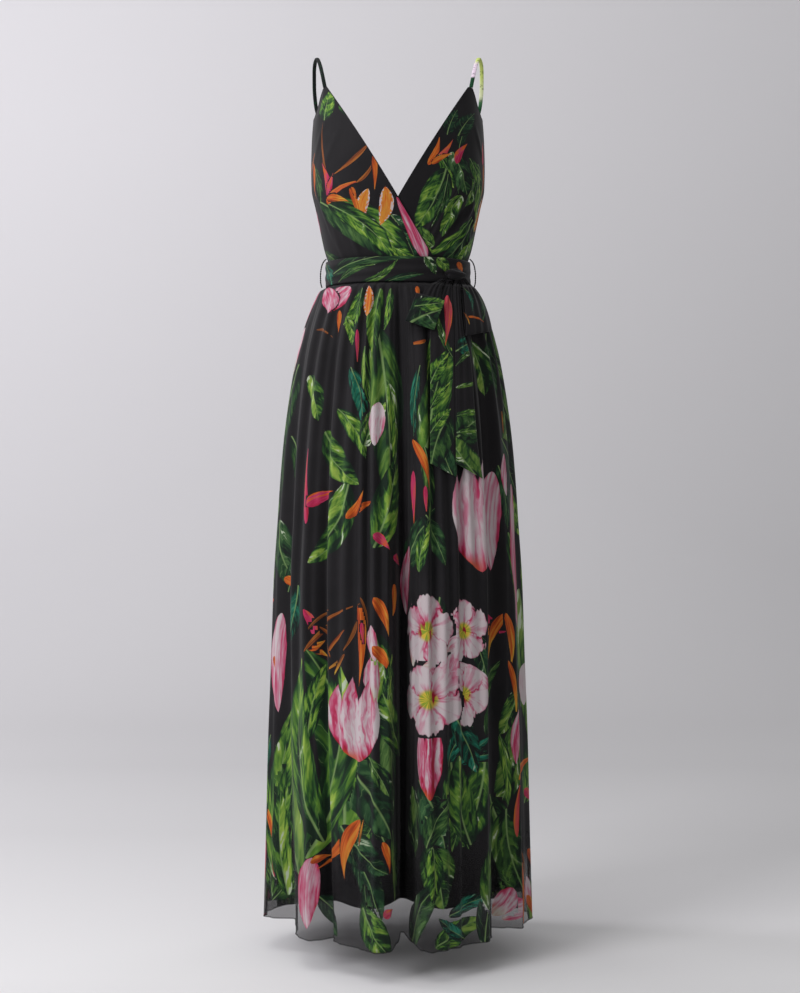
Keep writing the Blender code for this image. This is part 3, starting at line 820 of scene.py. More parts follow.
def smooth(x, xs, ys):
    """A cubic curve through the points (xs, ys), with slopes from each point's two neighbours."""
    xs, ys = np.asarray(xs, float), np.asarray(ys, float)
    if xs[0] > xs[-1]:
        xs, ys = xs[::-1], ys[::-1]
    x = np.clip(x, xs[0], xs[-1])
    step = np.diff(ys) / np.diff(xs)
    same_way = step[:-1] * step[1:] > 0
    mean = 2 * step[:-1] * step[1:] / np.where(same_way, step[:-1] + step[1:], 1)
    slope = np.concatenate([step[:1], np.where(same_way, mean, 0), step[-1:]])
    i = np.clip(np.searchsorted(xs, x) - 1, 0, len(xs) - 2)
    width = xs[i + 1] - xs[i]
    u = (x - xs[i]) / width
    return (
        ys[i] * (1 + 2 * u) * (1 - u) ** 2
        + ys[i + 1] * u * u * (3 - 2 * u)
        + width * (slope[i] * u * (1 - u) ** 2 - slope[i + 1] * u * u * (1 - u))
    )


def along_route(route, count):
    """A table's columns on smooth curves at evenly spaced places from its first row to its last."""
    columns = list(route.values())
    given = np.linspace(0, 1, len(columns[0]))
    return [smooth(np.linspace(0, 1, count), given, column) for column in columns]


def outline(z):
    """Half width, front, back and roundness at height z."""
    height, *columns = OUTLINE.values()
    return [smooth(z, height, column) for column in columns]


def on_dress(angle, z, lift=0.0):
    """Points at an angle (radians) and a height, moved out from the outline by lift."""
    angle, z, lift = np.broadcast_arrays(angle, z, lift)
    half_width, front, back, roundness = outline(z)
    ahead = np.cos(angle)
    depth = np.where(ahead > 0, front, back)
    x = half_width * np.sin(angle)
    y = -np.sign(ahead) * depth * np.abs(ahead) ** roundness
    out = np.stack([depth * np.sin(angle), -half_width * ahead], -1)
    out /= np.linalg.norm(out, axis=-1, keepdims=True)
    return np.stack([x + lift * out[..., 0], y + lift * out[..., 1], z], -1)


def angle_at(x, z):
    """The angle of the outline's point on the front at sideways place x."""
    return np.arcsin(np.clip(x / outline(z)[0], -1, 1))


def wander(phase, count, seed):
    """A gentle wander between about -1 and 1: a sum of sines of the phase, once and twice it and so
    on, each as low as it is fast, their turns drawn from a seed."""
    turns = np.random.default_rng(seed).uniform(0, 2 * np.pi, (2, count))[0]
    return sum(np.sin(rate * phase + turn) / rate for rate, turn in enumerate(turns, 1)) / 1.6


def fold_lines(folds, z):
    """Angle, depth and lift of each fold line at the heights z, as arrays of height by fold line.

    A line runs from its angle at the waist to its angle at the hem, wanders a little on the way, and
    its depth grows and shrinks by a tenth.
    """
    down = np.clip((WAIST - z) / (WAIST + LENGTH), 0, 1)[:, None]
    angle = folds["waist"] + (folds["hem"] - folds["waist"]) * down**FOLD_SPREAD_POWER
    given = [FOLD_SHARE_AT_BELT * folds["high"], folds["high"], folds["middle"], folds["low"]]
    depth = np.array([smooth(z, FOLD_HEIGHTS, column) for column in np.array(given).T]).T
    phase = down[:, 0] * FOLD_WANDER_TURNS
    for k in range(1, angle.shape[1] - 1):
        angle[:, k] += FOLD_WANDER_DEG * wander(phase, 3, k) * np.minimum(1, FOLD_WANDER_GAIN * down[:, 0])
        depth[:, k] *= 1 + FOLD_DEPTH_WANDER * wander(phase, 2, k + 90)
    near_hem = smooth(z, FOLD_HEIGHTS, (0, 0, 0, 1))[:, None]
    return angle, depth / 1000, near_hem * folds["lift"] / 1000


def folded(folds, z, between):
    """The fold lines with points between them, where depth and lift follow a half wave of cosine."""
    share = np.arange(between) / between
    wave = (1 - np.cos(np.pi * share)) / 2

    def filled(values, part):
        a, b = values[:, :-1, None], values[:, 1:, None]
        inner = (a + (b - a) * part).reshape(len(values), -1)
        return np.concatenate([inner, values[:, -1:]], 1)

    return [filled(values, part) for values, part in zip(fold_lines(folds, z), (share, wave, wave))]


def parted(angle, z):
    """The first and last columns drawn back from the side seam by half the seam's gap."""
    front, back = outline(z)[1:3]
    middle_ahead = np.cos(np.radians(angle[:, angle.shape[1] // 2])) > 0
    turn = np.degrees(SEAM / 2 / np.where(middle_ahead, front, back))
    angle = angle.copy()
    angle[:, 0] += turn
    angle[:, -1] -= turn
    return angle


def gathers(angle, z, seed):
    """Fine gathers under the waist seam: each is a half wave across that fades downwards."""
    draw = np.random.default_rng(seed)
    middle = np.linspace(angle[0, 0] + GATHER_INSET_DEG, angle[0, -1] - GATHER_INSET_DEG, GATHERS)
    middle = middle + draw.uniform(-GATHER_STRAY_DEG, GATHER_STRAY_DEG, GATHERS)
    sizes = [draw.uniform(*span, GATHERS) for span in (GATHER_HEIGHT, GATHER_HALF_DEG, GATHER_REACH)]
    rise = np.zeros(angle.shape)
    for at, height, half, reach in zip(middle, *sizes):
        fade = np.clip(1 - (WAIST - z) / reach, 0, 1)[:, None] ** GATHER_FADE_POWER
        rise += height * fade * np.cos(np.pi / 2 * np.clip((angle - at) / half, -1, 1)) ** 2
    return rise


def creased(creases, angle, z):
    """How far the listed creases stand out or in: a bell across each line, fading at both ends."""
    rise = np.zeros(np.broadcast(angle, z).shape)
    for a, z0, b, z1, height, width in zip(*creases.values()):
        ahead = np.array([(b - a) * METRES_PER_DEG, z1 - z0])
        x, y = (angle - a) * METRES_PER_DEG, z - z0
        along = np.clip((x * ahead[0] + y * ahead[1]) / np.linalg.norm(ahead) ** 2, 0, 1)
        off = np.hypot(x - along * ahead[0], y - along * ahead[1])
        rise += height * np.sin(np.pi * along) ** CREASE_FADE_POWER * np.exp(-((off / width) ** 2))
    return rise


def lining_depth(angle, z):
    """Depth of the lining: behind the deepest fold of the skirt within reach, and then its ease.

    Near a side seam the depth holds the seam's own value, so that both halves meet squarely.
    """
    front, back = (folded(folds, z, LINING_BETWEEN)[:2] for folds in FOLDS.values())
    angles, folds = (np.concatenate([a, b[:, 1:]], 1) for a, b in zip(front, back))
    whole = np.arange(-90, 270)
    reach = range(-LINING_REACH_DEG, LINING_REACH_DEG + 1)
    from_seam = np.abs((whole + 180) % 180 - 90)
    share = np.clip(from_seam / LINING_LEVEL_DEG - 1, 0, 1)
    share = share * share * (3 - 2 * share)
    depths = []
    for row in range(len(z)):
        fold = np.interp(whole, angles[row], folds[row])
        for gather in (np.max, np.mean):
            fold = gather([np.roll(fold, k) for k in reach], 0)
        at_seam = np.where((whole >= 0) & (whole < 180), fold[180], fold[0])
        fold = at_seam + (fold - at_seam) * share
        depths.append(np.interp(angle[row], whole, fold, period=360))
    return np.array(depths) + SOLID_WALL + smooth(z, LINING_EASE["z"], LINING_EASE["ease"])[:, None]


def pleat_rise(pleats, angle, z):
    """How far soft pleats stand out: each is a half wave across, and fades towards its upper end."""
    rise = np.zeros(np.broadcast(angle, z).shape)
    for waist, top, top_z, height, spread in zip(*pleats.values()):
        up = np.clip((z - WAIST) / (top_z - WAIST), 0, 1)
        away = np.clip(np.abs(angle - (waist + (top - waist) * up)) / spread, 0, 1)
        belt = np.clip((z - BELT_TOP) / PLEAT_BELT_FADE, 0, 1)
        along = PLEAT_SHARE_AT_BELT + (1 - PLEAT_SHARE_AT_BELT) * belt
        rise += height * along * (1 - up) ** PLEAT_FADE_POWER * (1 + np.cos(np.pi * away)) / 2
    return rise


def grid_faces(rows, columns, closed=False):
    """Quads facing outwards, for rows that run down and columns that run towards a greater angle."""
    index = np.arange(rows * columns).reshape(rows, columns)
    if closed:
        index = np.concatenate([index, index[:, :1]], 1)
    corners = (index[:-1, :-1], index[1:, :-1], index[1:, 1:], index[:-1, 1:])
    return np.stack(corners, -1).reshape(-1, 4)


def add_object(name, points, faces, material):
    """A smooth-shaded object from its points, its faces and its material."""
    mesh = bpy.data.meshes.new(name)
    mesh.from_pydata(np.reshape(points, (-1, 3)).tolist(), [], [list(map(int, f)) for f in faces])
    mesh.materials.append(material)
    mesh.shade_smooth()
    made = bpy.data.objects.new(name, mesh)
    bpy.context.scene.collection.objects.link(made)
    return made


def new_piece(name, points, faces, finish):
    """A piece that rides on the dress and has its own finish."""
    piece = add_object(name, points, faces, finish)
    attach(piece, "root")
    return piece


def cloth(name, points, finish, thick, closed=False, at=None, prints=(), hem=0.0):
    """A cloth piece from the grid of its outer face: a wall, its print and its hem."""
    faces = grid_faces(*points.shape[:2], closed)
    piece = new_piece(name, points, faces, finish)
    if prints:
        paint(piece.data, points, at, faces, prints)
    wall = piece.modifiers.new("wall", "SOLIDIFY")
    wall.thickness = thick
    wall.offset = -1
    wall.use_even_offset = True
    rolls = [edge_roll(f"{name}_hem", points[-1], finish, hem)] if hem else []


def tube(name, path, radius, finish, sides=8):
    """A tube carried along a path: a ring at each point, square to the path, with closed ends.

    A radius of two numbers makes it oval, the first one across the dress.
    """
    across = np.array([0.0, 0, 1] if np.isscalar(radius) else [1.0, 0, 0])
    forward = np.gradient(path, axis=0)
    forward /= np.linalg.norm(forward, axis=1, keepdims=True)
    wide = across - forward * (forward @ across)[:, None]
    wide /= np.linalg.norm(wide, axis=1, keepdims=True)
    high = np.cross(forward, wide)
    turn = np.linspace(0, 2 * np.pi, sides, endpoint=False)[:, None]
    size = np.broadcast_to(radius, (2,))
    ring = wide[:, None] * np.cos(turn) * size[0] + high[:, None] * np.sin(turn) * size[1]
    faces = [face[::-1] for face in grid_faces(len(path), sides, closed=True)]
    faces += [range(sides)[::-1], (len(path) - 1) * sides + np.arange(sides)]
    return new_piece(name, path[:, None] + ring, faces, finish)


def edge_roll(name, path, finish, radius=EDGE_ROLL):
    """A fine rolled edge along a path of the cloth's outer face, sunk into the wall."""
    away = path * [1, 1, 0]
    inwards = away / np.linalg.norm(away, axis=1, keepdims=True) * CHIFFON / 2
    return tube(name, path - inwards, radius, finish)


def reach_of(line, at, run):
    """Length along each row to a line, carried straight on past the row's two ends."""
    within = np.array([np.interp(line, a, r) for a, r in zip(at, run)])
    first = (run[:, 1] - run[:, 0]) / (at[:, 1] - at[:, 0])
    last = (run[:, -1] - run[:, -2]) / (at[:, -1] - at[:, -2])
    return within + np.minimum(line - at[:, 0], 0) * first + np.maximum(line - at[:, -1], 0) * last


def paint(mesh, points, at, faces, prints):
    """Gives each face corner its place on the motif that covers it, one motif at most in each layer.

    The cloth is unrolled along its rows: a point's distance across is the length along its row from
    the motif's own upright line, and its distance down is the fall in height.  Turned to the motif's
    direction, less a bow of 4 s (1 - s) times its bend, these give the place: s along it, 0 at the
    root and 1 at the tip, and t across it, from -1 to 1.

    A leaf goes on the freer of the two lower layers.  The first layout is laid whole.  Of those
    after it, seen from the sides, a motif is laid where all of it faces there, on bare cloth.
    """
    at = np.broadcast_to(at, points.shape[:2])
    step = np.linalg.norm(np.diff(points, axis=1), axis=2)
    run = np.concatenate([np.zeros((len(points), 1)), np.cumsum(step, 1)], 1)
    down = -points[..., 2]
    places, looks = ({layer: np.zeros((len(faces), 4, 3), np.float32) for layer in LAYERS} for _ in "ab")
    for filling, (motifs_of, side) in enumerate(prints):
        find, facing = shown(points, at, np.radians(side))
        for layer, painter in LAYERS.items():
            lean, fullness = SWELLING[painter]
            motifs = sprays(motifs_of[layer], find) if layer in motifs_of else ()
            for seed, (line, root, turn, length, width, bend, hue, pale) in enumerate(motifs):
                x = (run - reach_of(line[0], at, run)[:, None]) / line[1] + line[2]
                y = down - root
                along = (x * np.sin(turn) + y * np.cos(turn)) / length
                bow = bend * 4 * along * (1 - along) * length
                across = (x * np.cos(turn) - y * np.sin(turn) - bow) / (width / 2)
                half = np.sin(np.pi * np.clip(along, 0.001, 0.999) ** lean) ** fullness
                near = (np.abs(across) < MOTIF_MARGIN * half) & (np.abs(along - 0.5) < MOTIF_REACH)
                chosen = near.ravel()[faces].any(1)
                if not chosen.any():
                    continue
                choice = LOWER_LAYERS if layer in LOWER_LAYERS else (layer,)
                taken = {word: looks[word][chosen, 0, 2].sum() for word in (*choice, "bloom")}
                onto = min(choice, key=taken.get)
                corners = faces[chosen]
                if filling and (
                    facing.ravel()[corners].min() < SIDE_SHARE
                    or taken[onto] + taken["bloom"] > MOST_TAKEN * chosen.sum()
                ):
                    continue
                place = (along.ravel()[corners], across.ravel()[corners], 0 * corners + SEED_STEP * seed)
                places[onto][chosen] = np.stack(place, -1)
                looks[onto][chosen] = (hue, pale, 1)
    for word, values in (("place", places), ("look", looks)):
        for layer in LAYERS:
            attribute = mesh.attributes.new(f"{layer}_{word}", "FLOAT_VECTOR", "CORNER")
            attribute.data.foreach_set("vector", values[layer].ravel())


def shown(points, at, side):
    """Gives find, which finds the cloth that shows at a place, and how far each point faces the side.

    The place is as seen from the given side, an angle round the dress from its front, and the cloth
    that shows is the one nearest to that side.  A find gives the cloth's line, how much longer the
    cloth is there than the width it shows, up to MOST_STRETCH, and for each row how far the line
    strays from upright; or nothing, where no cloth is within MOST_AWAY.
    """
    x, y, z = np.moveaxis(points, -1, 0)
    level = x * np.cos(side) + y * np.sin(side)
    ahead = x * np.sin(side) - y * np.cos(side)
    step = np.linalg.norm(np.gradient(points, axis=1), axis=2)
    stretch = step / np.maximum(np.abs(np.gradient(level, axis=1)), 1e-6)

    def find(across, height):
        away = np.hypot(level - across, z - height)
        best = np.where(away < SHOWN_REACH, -ahead, away + 1).argmin()
        if away.ravel()[best] > MOST_AWAY:
            return None
        line = at.ravel()[best]
        stray = reach_of(line, at, level)[:, None] - level.ravel()[best]
        return line, np.clip(stretch.ravel()[best], 1, MOST_STRETCH), stray

    return find, ahead / ahead.max(1, keepdims=True)


def sprays(motifs, find):
    """Spreads each row of a layout into its motifs: count of them, fanned evenly over the sweep.

    Sizes turn from millimetres to metres, and a place across the dress turns into the line of the
    cloth that shows there.  Every second motif of a spray is an eighth shorter.
    """
    made = []
    for across, down, to_across, to_down, width, hue, pale, bend, count, sweep in zip(*motifs.values()):
        length = np.hypot(to_across - across, to_down - down) / 1000
        turn = np.arctan2(to_across - across, to_down - down)
        line = find(across / 1000, -down / 1000)
        if line is None:
            continue
        fan = np.linspace(-0.5, 0.5, int(count)) * np.radians(sweep) if count > 1 else [0.0]
        for k, extra in enumerate(fan):
            size = (length * (1 - k % 2 / 8), width / 1000, bend * (1 - 2 * (k % 2)))
            made.append((line, down / 1000, turn + extra, *size, hue, pale))
    return made


def joined(*layouts):
    """Layouts as one."""
    return {
        layer: {c: np.concatenate([m[layer][c] for m in layouts if layer in m]) for c in MOTIF.split()}
        for layer in set().union(*layouts)
    }


def moved(motifs_of, down_by, first, last):
    """A layout carried down the cloth, and back to its top past the last height."""
    made = {}
    for layer, motifs in motifs_of.items():
        drop = (motifs["down"] - first + down_by) % (last - first) + first - motifs["down"]
        made[layer] = {**motifs, "down": motifs["down"] + drop, "to_down": motifs["to_down"] + drop}
    return made


def sums(operation):
    return lambda *values: calc(operation, *values)


class Flow:
    """What a node gives out, and the tree it is in, so that sums on it are written as they are read."""

    __add__ = __radd__ = sums("ADD")
    __mul__ = __rmul__ = sums("MULTIPLY")
    __sub__, __truediv__, __pow__, __abs__ = map(sums, ("SUBTRACT", "DIVIDE", "POWER", "ABSOLUTE"))

    def __init__(self, tree, socket):
        self.tree, self.socket = tree, socket


def add_node(tree, kind, inputs=(), output=0, **options):
    """A new node with its options set and its inputs linked or given, and what one output gives."""
    node = tree.nodes.new(f"ShaderNode{kind}")
    for option, value in options.items():
        setattr(node, option, value)
    for name, value in dict(inputs).items():
        feed(node, name, value)
    return Flow(tree, node.outputs[output])


def feed(node, name, value):
    """Links a flow to a node's input, or sets a plain value there."""
    if isinstance(value, Flow):
        value.tree.links.new(value.socket, node.inputs[name])
    else:
        node.inputs[name].default_value = value


def calc(operation, *values, clamp=False):
    """A sum on one or two numbers."""
    tree = next(value.tree for value in values if isinstance(value, Flow))
    return add_node(tree, "Math", enumerate(values), operation=operation, use_clamp=clamp)


def ease(value, low, high, to_low=0.0, to_high=1.0):
    """A smooth step from to_low, below low, to to_high, above high."""
    names = ("Value", "From Min", "From Max", "To Min", "To Max")
    inputs = zip(names, (value, low, high, to_low, to_high))
    return add_node(value.tree, "MapRange", inputs, interpolation_type="SMOOTHSTEP")


def fade(value, low, high):
    """A smooth step from 1 down to 0."""
    return ease(value, low, high, 1.0, 0.0)


def blend(factor, a, b):
    """Colour a where the factor is 0, and b where it is 1."""
    a, b = ((*colour, 1) if isinstance(colour, tuple) else colour for colour in (a, b))
    return add_node(factor.tree, "Mix", {0: factor, 6: a, 7: b}, 2, data_type="RGBA")


def ramp(factor, *stops):
    """A colour ramp: each stop is a position and a colour."""
    colour = add_node(factor.tree, "ValToRGB", {"Fac": factor})
    elements = colour.socket.node.color_ramp.elements
    while len(elements) < len(stops):
        elements.new(0.5)
    for element, (position, shade) in zip(elements, stops):
        element.position = position
        element.color = (*shade, 1)
    return colour


def vector(x, y, z):
    return add_node(x.tree, "CombineXYZ", {"X": x, "Y": y, "Z": z})


def parts(value):
    """The three numbers of a vector."""
    first = add_node(value.tree, "SeparateXYZ", {"Vector": value})
    return [Flow(value.tree, socket) for socket in first.socket.node.outputs]


def noise(place, scale, detail=2.0):
    inputs = {"Vector": place, "Scale": scale, "Detail": detail, "Roughness": 0.55}
    return add_node(place.tree, "TexNoise", inputs, "Fac")


def place_on_dress(tree):
    return add_node(tree, "TexCoord", output="Object")


def new_group(name, given, made):
    """A shader node group with named inputs and outputs, and what its inputs give."""
    tree = bpy.data.node_groups.new(name, "ShaderNodeTree")
    for way, sockets in (("INPUT", given), ("OUTPUT", made)):
        for word, kind in sockets.items():
            tree.interface.new_socket(word, in_out=way, socket_type=f"NodeSocket{kind}")
    start = tree.nodes.new("NodeGroupInput").outputs
    return tree, [Flow(tree, start[word]) for word in given]


def give(tree, **values):
    """The values that a group gives out."""
    end = tree.nodes.new("NodeGroupOutput")
    for word, value in values.items():
        feed(end, word, value)
    return tree


def use_group(tree, group, **inputs):
    node = add_node(tree, "Group", inputs, node_tree=group).socket.node
    return [Flow(tree, socket) for socket in node.outputs]


PAINT_SOCKETS = {"Color": "Color", "Cover": "Float"}


def motif_group(kind, painter):
    """A motif's group.  Its painter reads its place, its look and a slow wobble."""
    tree, (place, look) = new_group(f"{kind}_paint", {"Place": "Vector", "Look": "Vector"}, PAINT_SOCKETS)
    s, t, seed = parts(place)
    hue, pale, on = parts(look)
    colour, cover = painter(s, t, seed, hue, pale, noise(vector(s, t, seed), 4.5))
    return give(tree, Color=colour, Cover=cover * on)


def swelling(s, lean, fullness):
    """The sine of pi times s to the power lean, to the power fullness: a leaf's half width."""
    height = calc("SINE", calc("MAXIMUM", s, 0.0) ** lean * float(np.pi))
    return calc("MAXIMUM", height, 0.0) ** fullness


def share_of_width(side, half, wobble, ragged):
    """How far out a place lies, 1 at the outline, which the wobble makes ragged."""
    return side / calc("MAXIMUM", half, 0.001) + wobble * (2 * ragged) - ragged


def strokes(x, y, seed, scale, spread=1.0, detail=3.0):
    """Brush strokes that run along y: noise drawn out that way, from about 0 to 1."""
    return ease(noise(vector(x * scale, y * spread, seed), 1.0, detail), 0.32, 0.68)


def leaf_paint(s, t, seed, hue, pale, wobble):
    """A painted leaf: strokes that leave the midrib and bend towards the tip, from near black to
    lime, one half in shade, with patches of deep shadow, a few fine side veins and a pale midrib.

    A stroke is a line where s less VEIN_SLANT times the distance from the midrib to the power 1.4,
    is level.
    """
    side = abs(t)
    edge = share_of_width(side, swelling(s, *SWELLING["leaf"]), wobble, 0.08)
    half = seed + ease(t, -0.02, 0.02, 0.0, 5.0)
    slanted = s - side**1.4 * VEIN_SLANT + wobble * 0.10
    broad = strokes(slanted, side, half, 3.4, 0.7)
    middling = strokes(slanted, side, half, 11.0, 0.9, 2.0)
    fine = strokes(slanted, side, half, 27.0, 1.0, 2.0)
    shadow = ease(noise(vector(slanted, t, half), 2.6, 1.0), 0.50, 0.66)
    value = broad * 0.62 + middling * 0.40 + fine * 0.08 - shadow * 0.42
    value = value - ease(t, -0.03, 0.05, 0.0, 0.16) - ease(edge, 0.70, 1.0, 0.0, 0.24)
    value = value - ease(s, 0.0, 0.25, 0.25, 0.0)
    deep = ramp(value, (0.1, DEEP_SHADE), (0.5, DEEP_GREEN), (0.95, DEEP_LIGHT))
    bright = ramp(value, (0.02, LEAF_SHADE), (0.26, LEAF_GREEN), (0.52, LEAF_LIGHT), (0.84, LIME))
    teal = ramp(value, (0.1, DEEP_SHADE), (0.5, TEAL), (1.0, TEAL_LIGHT))
    colour = blend(ease(hue, 1.3, 1.7), blend(ease(hue, 0.0, 1.0), deep, bright), teal)
    colour = blend(ease(pale * 0.34 + broad * middling, 0.86, 1.04), colour, LEAF_PALE)
    vein = ease(calc("FRACT", slanted * VEINS), 0.90, 1.0) * ease(middling, 0.5, 0.8, 0.0, 0.5)
    rib = ease(s * 0.05 + side, 0.03, 0.09, 0.85, 0.0)
    return blend(calc("MAXIMUM", vein, rib), colour, RIB), fade(edge, 0.95, 1.0)


def petal_colours(value, orange=None):
    """From white through pink to dark red, and from amber to dark red where orange is 1."""
    pink = ramp(value, (0.15, PETAL_WHITE), (0.45, PETAL_PINK), (0.7, PETAL_ROSE), (0.95, PETAL_RED))
    if orange is None:
        return pink
    warm = ramp(value, (0.1, AMBER), (0.4, ORANGE), (0.75, ORANGE_DARK), (1.0, PETAL_RED))
    return blend(orange, pink, warm)


def petal_paint(s, t, seed, hue, pale, wobble):
    """A painted petal, widest past its middle, with streaks along it that gather to a darker rim.
    A hue of 2 makes it orange with a tufted rim."""
    edge = share_of_width(abs(t), swelling(s, *SWELLING["petal"]), wobble, 0.12)
    orange = ease(hue, 1.3, 1.7)
    value = strokes(t, s, seed, 5.0, 1.6) * 0.42 + strokes(t, s, seed, 1.6, 2.2) * 0.38 - 0.26
    value = value + hue * 0.5 + ease(edge, 0.6, 1.0, 0.0, 0.22) - orange
    tufts = noise(vector(s * 13.0, t * 4.0, seed), 1.0)
    fringe = ease(edge, 0.55, 0.75) * ease(tufts, 0.47, 0.53) * orange
    colour = blend(fringe, petal_colours(value, orange), PETAL_WHITE)
    return blend(fade(s, 0.1, 0.5) * pale, colour, THROAT_GREEN), fade(edge, 0.95, 1.0)


def bloom_paint(s, t, seed, hue, pale, wobble):
    """A whole bloom.  Pale below a half draws a cup of three petals on its side view, and above it
    an open flower of five petals.

    The cup's outline is a rounded base and a lobed top edge.  The open flower's petals end where
    the distance from its middle is 0.76, and up to 0.26 more by the cosine of two and a half turns.
    """
    lobes = calc("PINGPONG", t + seed * 0.07 + wobble * 0.16, 0.30)
    cup_edge = share_of_width(abs(t), swelling(s * 0.88, 0.85, 0.85), wobble, 0.07)
    cup_edge = calc("MAXIMUM", cup_edge, s / (lobes * 0.95 + 0.70))
    flow = t + wobble * 0.45
    cup = strokes(flow, s, seed, 5.0, 1.3) * (hue * 0.7 + 0.2) + strokes(flow, s, seed, 1.9, 1.6) * 0.5
    cup = cup - 0.22 + ease(s, 0.0, 0.34, 0.50, 0.0) + ease(lobes, 0.0, 0.07, 0.22, 0.0)

    y = s * 2.0 - 1.0
    radius = calc("SQRT", t * t + y * y)
    turn = calc("ARCTAN2", t, y)
    petal = abs(calc("COSINE", turn * 2.5 + wobble * 2.4 + seed))
    open_edge = share_of_width(radius, petal**0.6 * 0.26 + 0.76, wobble, 0.16)
    ray = strokes(turn, radius, seed, 3.5, 1.2)
    flat = ray * 0.46 + hue * 0.5 + wobble * 0.5 - 0.46
    flat = flat + ease(petal, 0.02, 0.30, 0.36, 0.0) + ease(radius, 0.25, 0.6, 0.22, 0.0)

    kind = ease(pale, 0.45, 0.55)
    edge = cup_edge + kind * (open_edge - cup_edge)
    value = cup + kind * (flat - cup) + ease(edge, 0.88, 1.0, 0.0, 0.2)
    foot = fade(s, 0.04, 0.16) * ease(t, -0.4, 0.5) * fade(pale, 0.45, 0.55)
    colour = blend(foot, petal_colours(value), ORANGE)
    spots = blend(ease(ray, 0.35, 0.65), THROAT_YELLOW, THROAT_GREEN)
    spots = blend(ease(wobble, 0.55, 0.62), spots, PETAL_RED)
    return blend(fade(radius, 0.20, 0.34) * kind, colour, spots), fade(edge, 0.96, 1.0)


def spear_paint(s, t, seed, hue, pale, wobble):
    """A painted spear or twig, widest near its root, lit along one side, its tip turning amber where
    pale is high."""
    edge = share_of_width(abs(t), swelling(s, *SWELLING["spear"]), wobble, 0.12)
    streak = strokes(t, s, seed, 3.0, 2.0)
    value = calc("ADD", streak * 0.7 + t * 0.3, 0.15, clamp=True)
    orange = ramp(value, (0.0, ORANGE_DARK), (0.5, ORANGE), (1.0, AMBER))
    warm = s * 0.5 + value
    magenta = ramp(warm, (0.0, PETAL_RED), (0.4, MAGENTA), (0.8, PETAL_ROSE), (1.0, ORANGE))
    twig = ramp(value, (0.0, TWIG_DARK), (1.0, TWIG))
    colour = blend(ease(hue, 0.7, 1.1), blend(ease(hue, 0.2, 0.6), twig, orange), magenta)
    colour = blend(ease(s, 0.25, 0.85) * pale, colour, blend(streak, ORANGE, THROAT_YELLOW))
    return colour, fade(edge, 0.92, 1.0)


def dress_print():
    """The whole print: each layer's motif over the ones before it, on black."""
    painters = {"leaf": leaf_paint, "petal": petal_paint, "bloom": bloom_paint, "spear": spear_paint}
    groups = {kind: motif_group(kind, painter) for kind, painter in painters.items()}
    tree, _ = new_group("dress_print", {}, PAINT_SOCKETS)
    colour = ramp(noise(place_on_dress(tree), 14.0, 3.0), (0.35, GROUND), (0.75, GROUND_LIGHT))
    cover = 0.0
    for layer, kind in LAYERS.items():
        place, look = (
            add_node(tree, "Attribute", output="Vector", attribute_name=f"{layer}_{word}")
            for word in ("place", "look")
        )
        motif_colour, motif_cover = use_group(tree, groups[kind], Place=place, Look=look)
        colour = blend(motif_cover, colour, motif_colour)
        cover = calc("MAXIMUM", cover, motif_cover)
    return give(tree, Color=blend(cover * BLACK_BEHIND, colour, GROUND), Cover=cover)


def crepe_grain():
    """Height of the cloth's face: a fine pebbled grain, and soft wrinkles that run down the cloth."""
    sockets = {"Grain": "Float", "Wrinkle": "Float"}
    tree, (grain, wrinkle) = new_group("crepe_grain", sockets, {"Height": "Float"})
    place = place_on_dress(tree)
    long_place = add_node(tree, "Mapping", {"Vector": place, "Scale": (1, 1, 0.10)})
    return give(tree, Height=noise(place, 900.0, 1.0) * grain + noise(long_place, 42.0, 3.0) * wrinkle)


def new_material(name, **inputs):
    """A material, its node tree and its shader, with the shader's own values set."""
    material = bpy.data.materials.new(name)
    material.use_nodes = True
    shader = material.node_tree.nodes["Principled BSDF"]
    for word, value in inputs.items():
        feed(shader, word.replace("_", " "), value)
    return material, material.node_tree, shader


def new_cloth(name, roughness, sheen, group, grain, wrinkle):
    """A cloth material with a bump from the cloth's grain, its heights in metres."""
    material, tree, shader = new_material(name, Roughness=roughness, Sheen_Weight=sheen)
    shader.inputs["Specular IOR Level"].default_value = 0.15
    height, = use_group(tree, group, Grain=grain, Wrinkle=wrinkle)
    feed(shader, "Normal", add_node(tree, "Bump", {"Height": height, "Distance": 1.0, "Strength": 1.0}))
    return material, place_on_dress(tree), shader


def printed_finish(name, design, grain, cover_of_ground):
    """Printed chiffon.  Bare black ground lets light through where cover_of_ground is under 1, and
    less so higher up, where gathers lie close."""
    material, place, shader = new_cloth(name, 0.72, 0.06, grain, 0.000006, 0.0006)
    colour, cover = use_group(place.tree, design)
    feed(shader, "Base Color", colour)
    if cover_of_ground < 1:
        bare = ease(parts(place)[2], *THIN_FROM, cover_of_ground, GATHERED_COVER)
        feed(shader, "Alpha", calc("MAXIMUM", bare, cover * COVER_OF_PRINT))
    return material


def plain_finish(name, dark, light, grain, wrinkle=0.0004):
    """Dyed cloth whose colour drifts a little over the surface."""
    material, place, shader = new_cloth(name, 0.75, 0.04, grain, 0.000008, wrinkle)
    feed(shader, "Base Color", ramp(noise(place, 60.0, 3.0), (0.3, dark), (0.7, light)))
    return material


def strap_finish(name, grain, front, back):
    """Rouleau cut from the print: its colour changes with height, in one way in front of the
    shoulder and in another behind it, with slanting darker strokes."""
    material, place, shader = new_cloth(name, 0.7, 0.05, grain, 0.000008, 0.0002)
    x, y, z = parts(place)
    stroke = noise(vector(x, y + z, z * 1.5), 150.0)
    share = (z + stroke * 0.008 - STRAP_FOOT_Z) / -STRAP_FOOT_Z
    colour = blend(ease(y, -0.004, 0.004), ramp(share, *front), ramp(share, *back))
    feed(shader, "Base Color", blend(ease(stroke, 0.56, 0.64, 0.0, 0.55), colour, DEEP_GREEN))
    return material


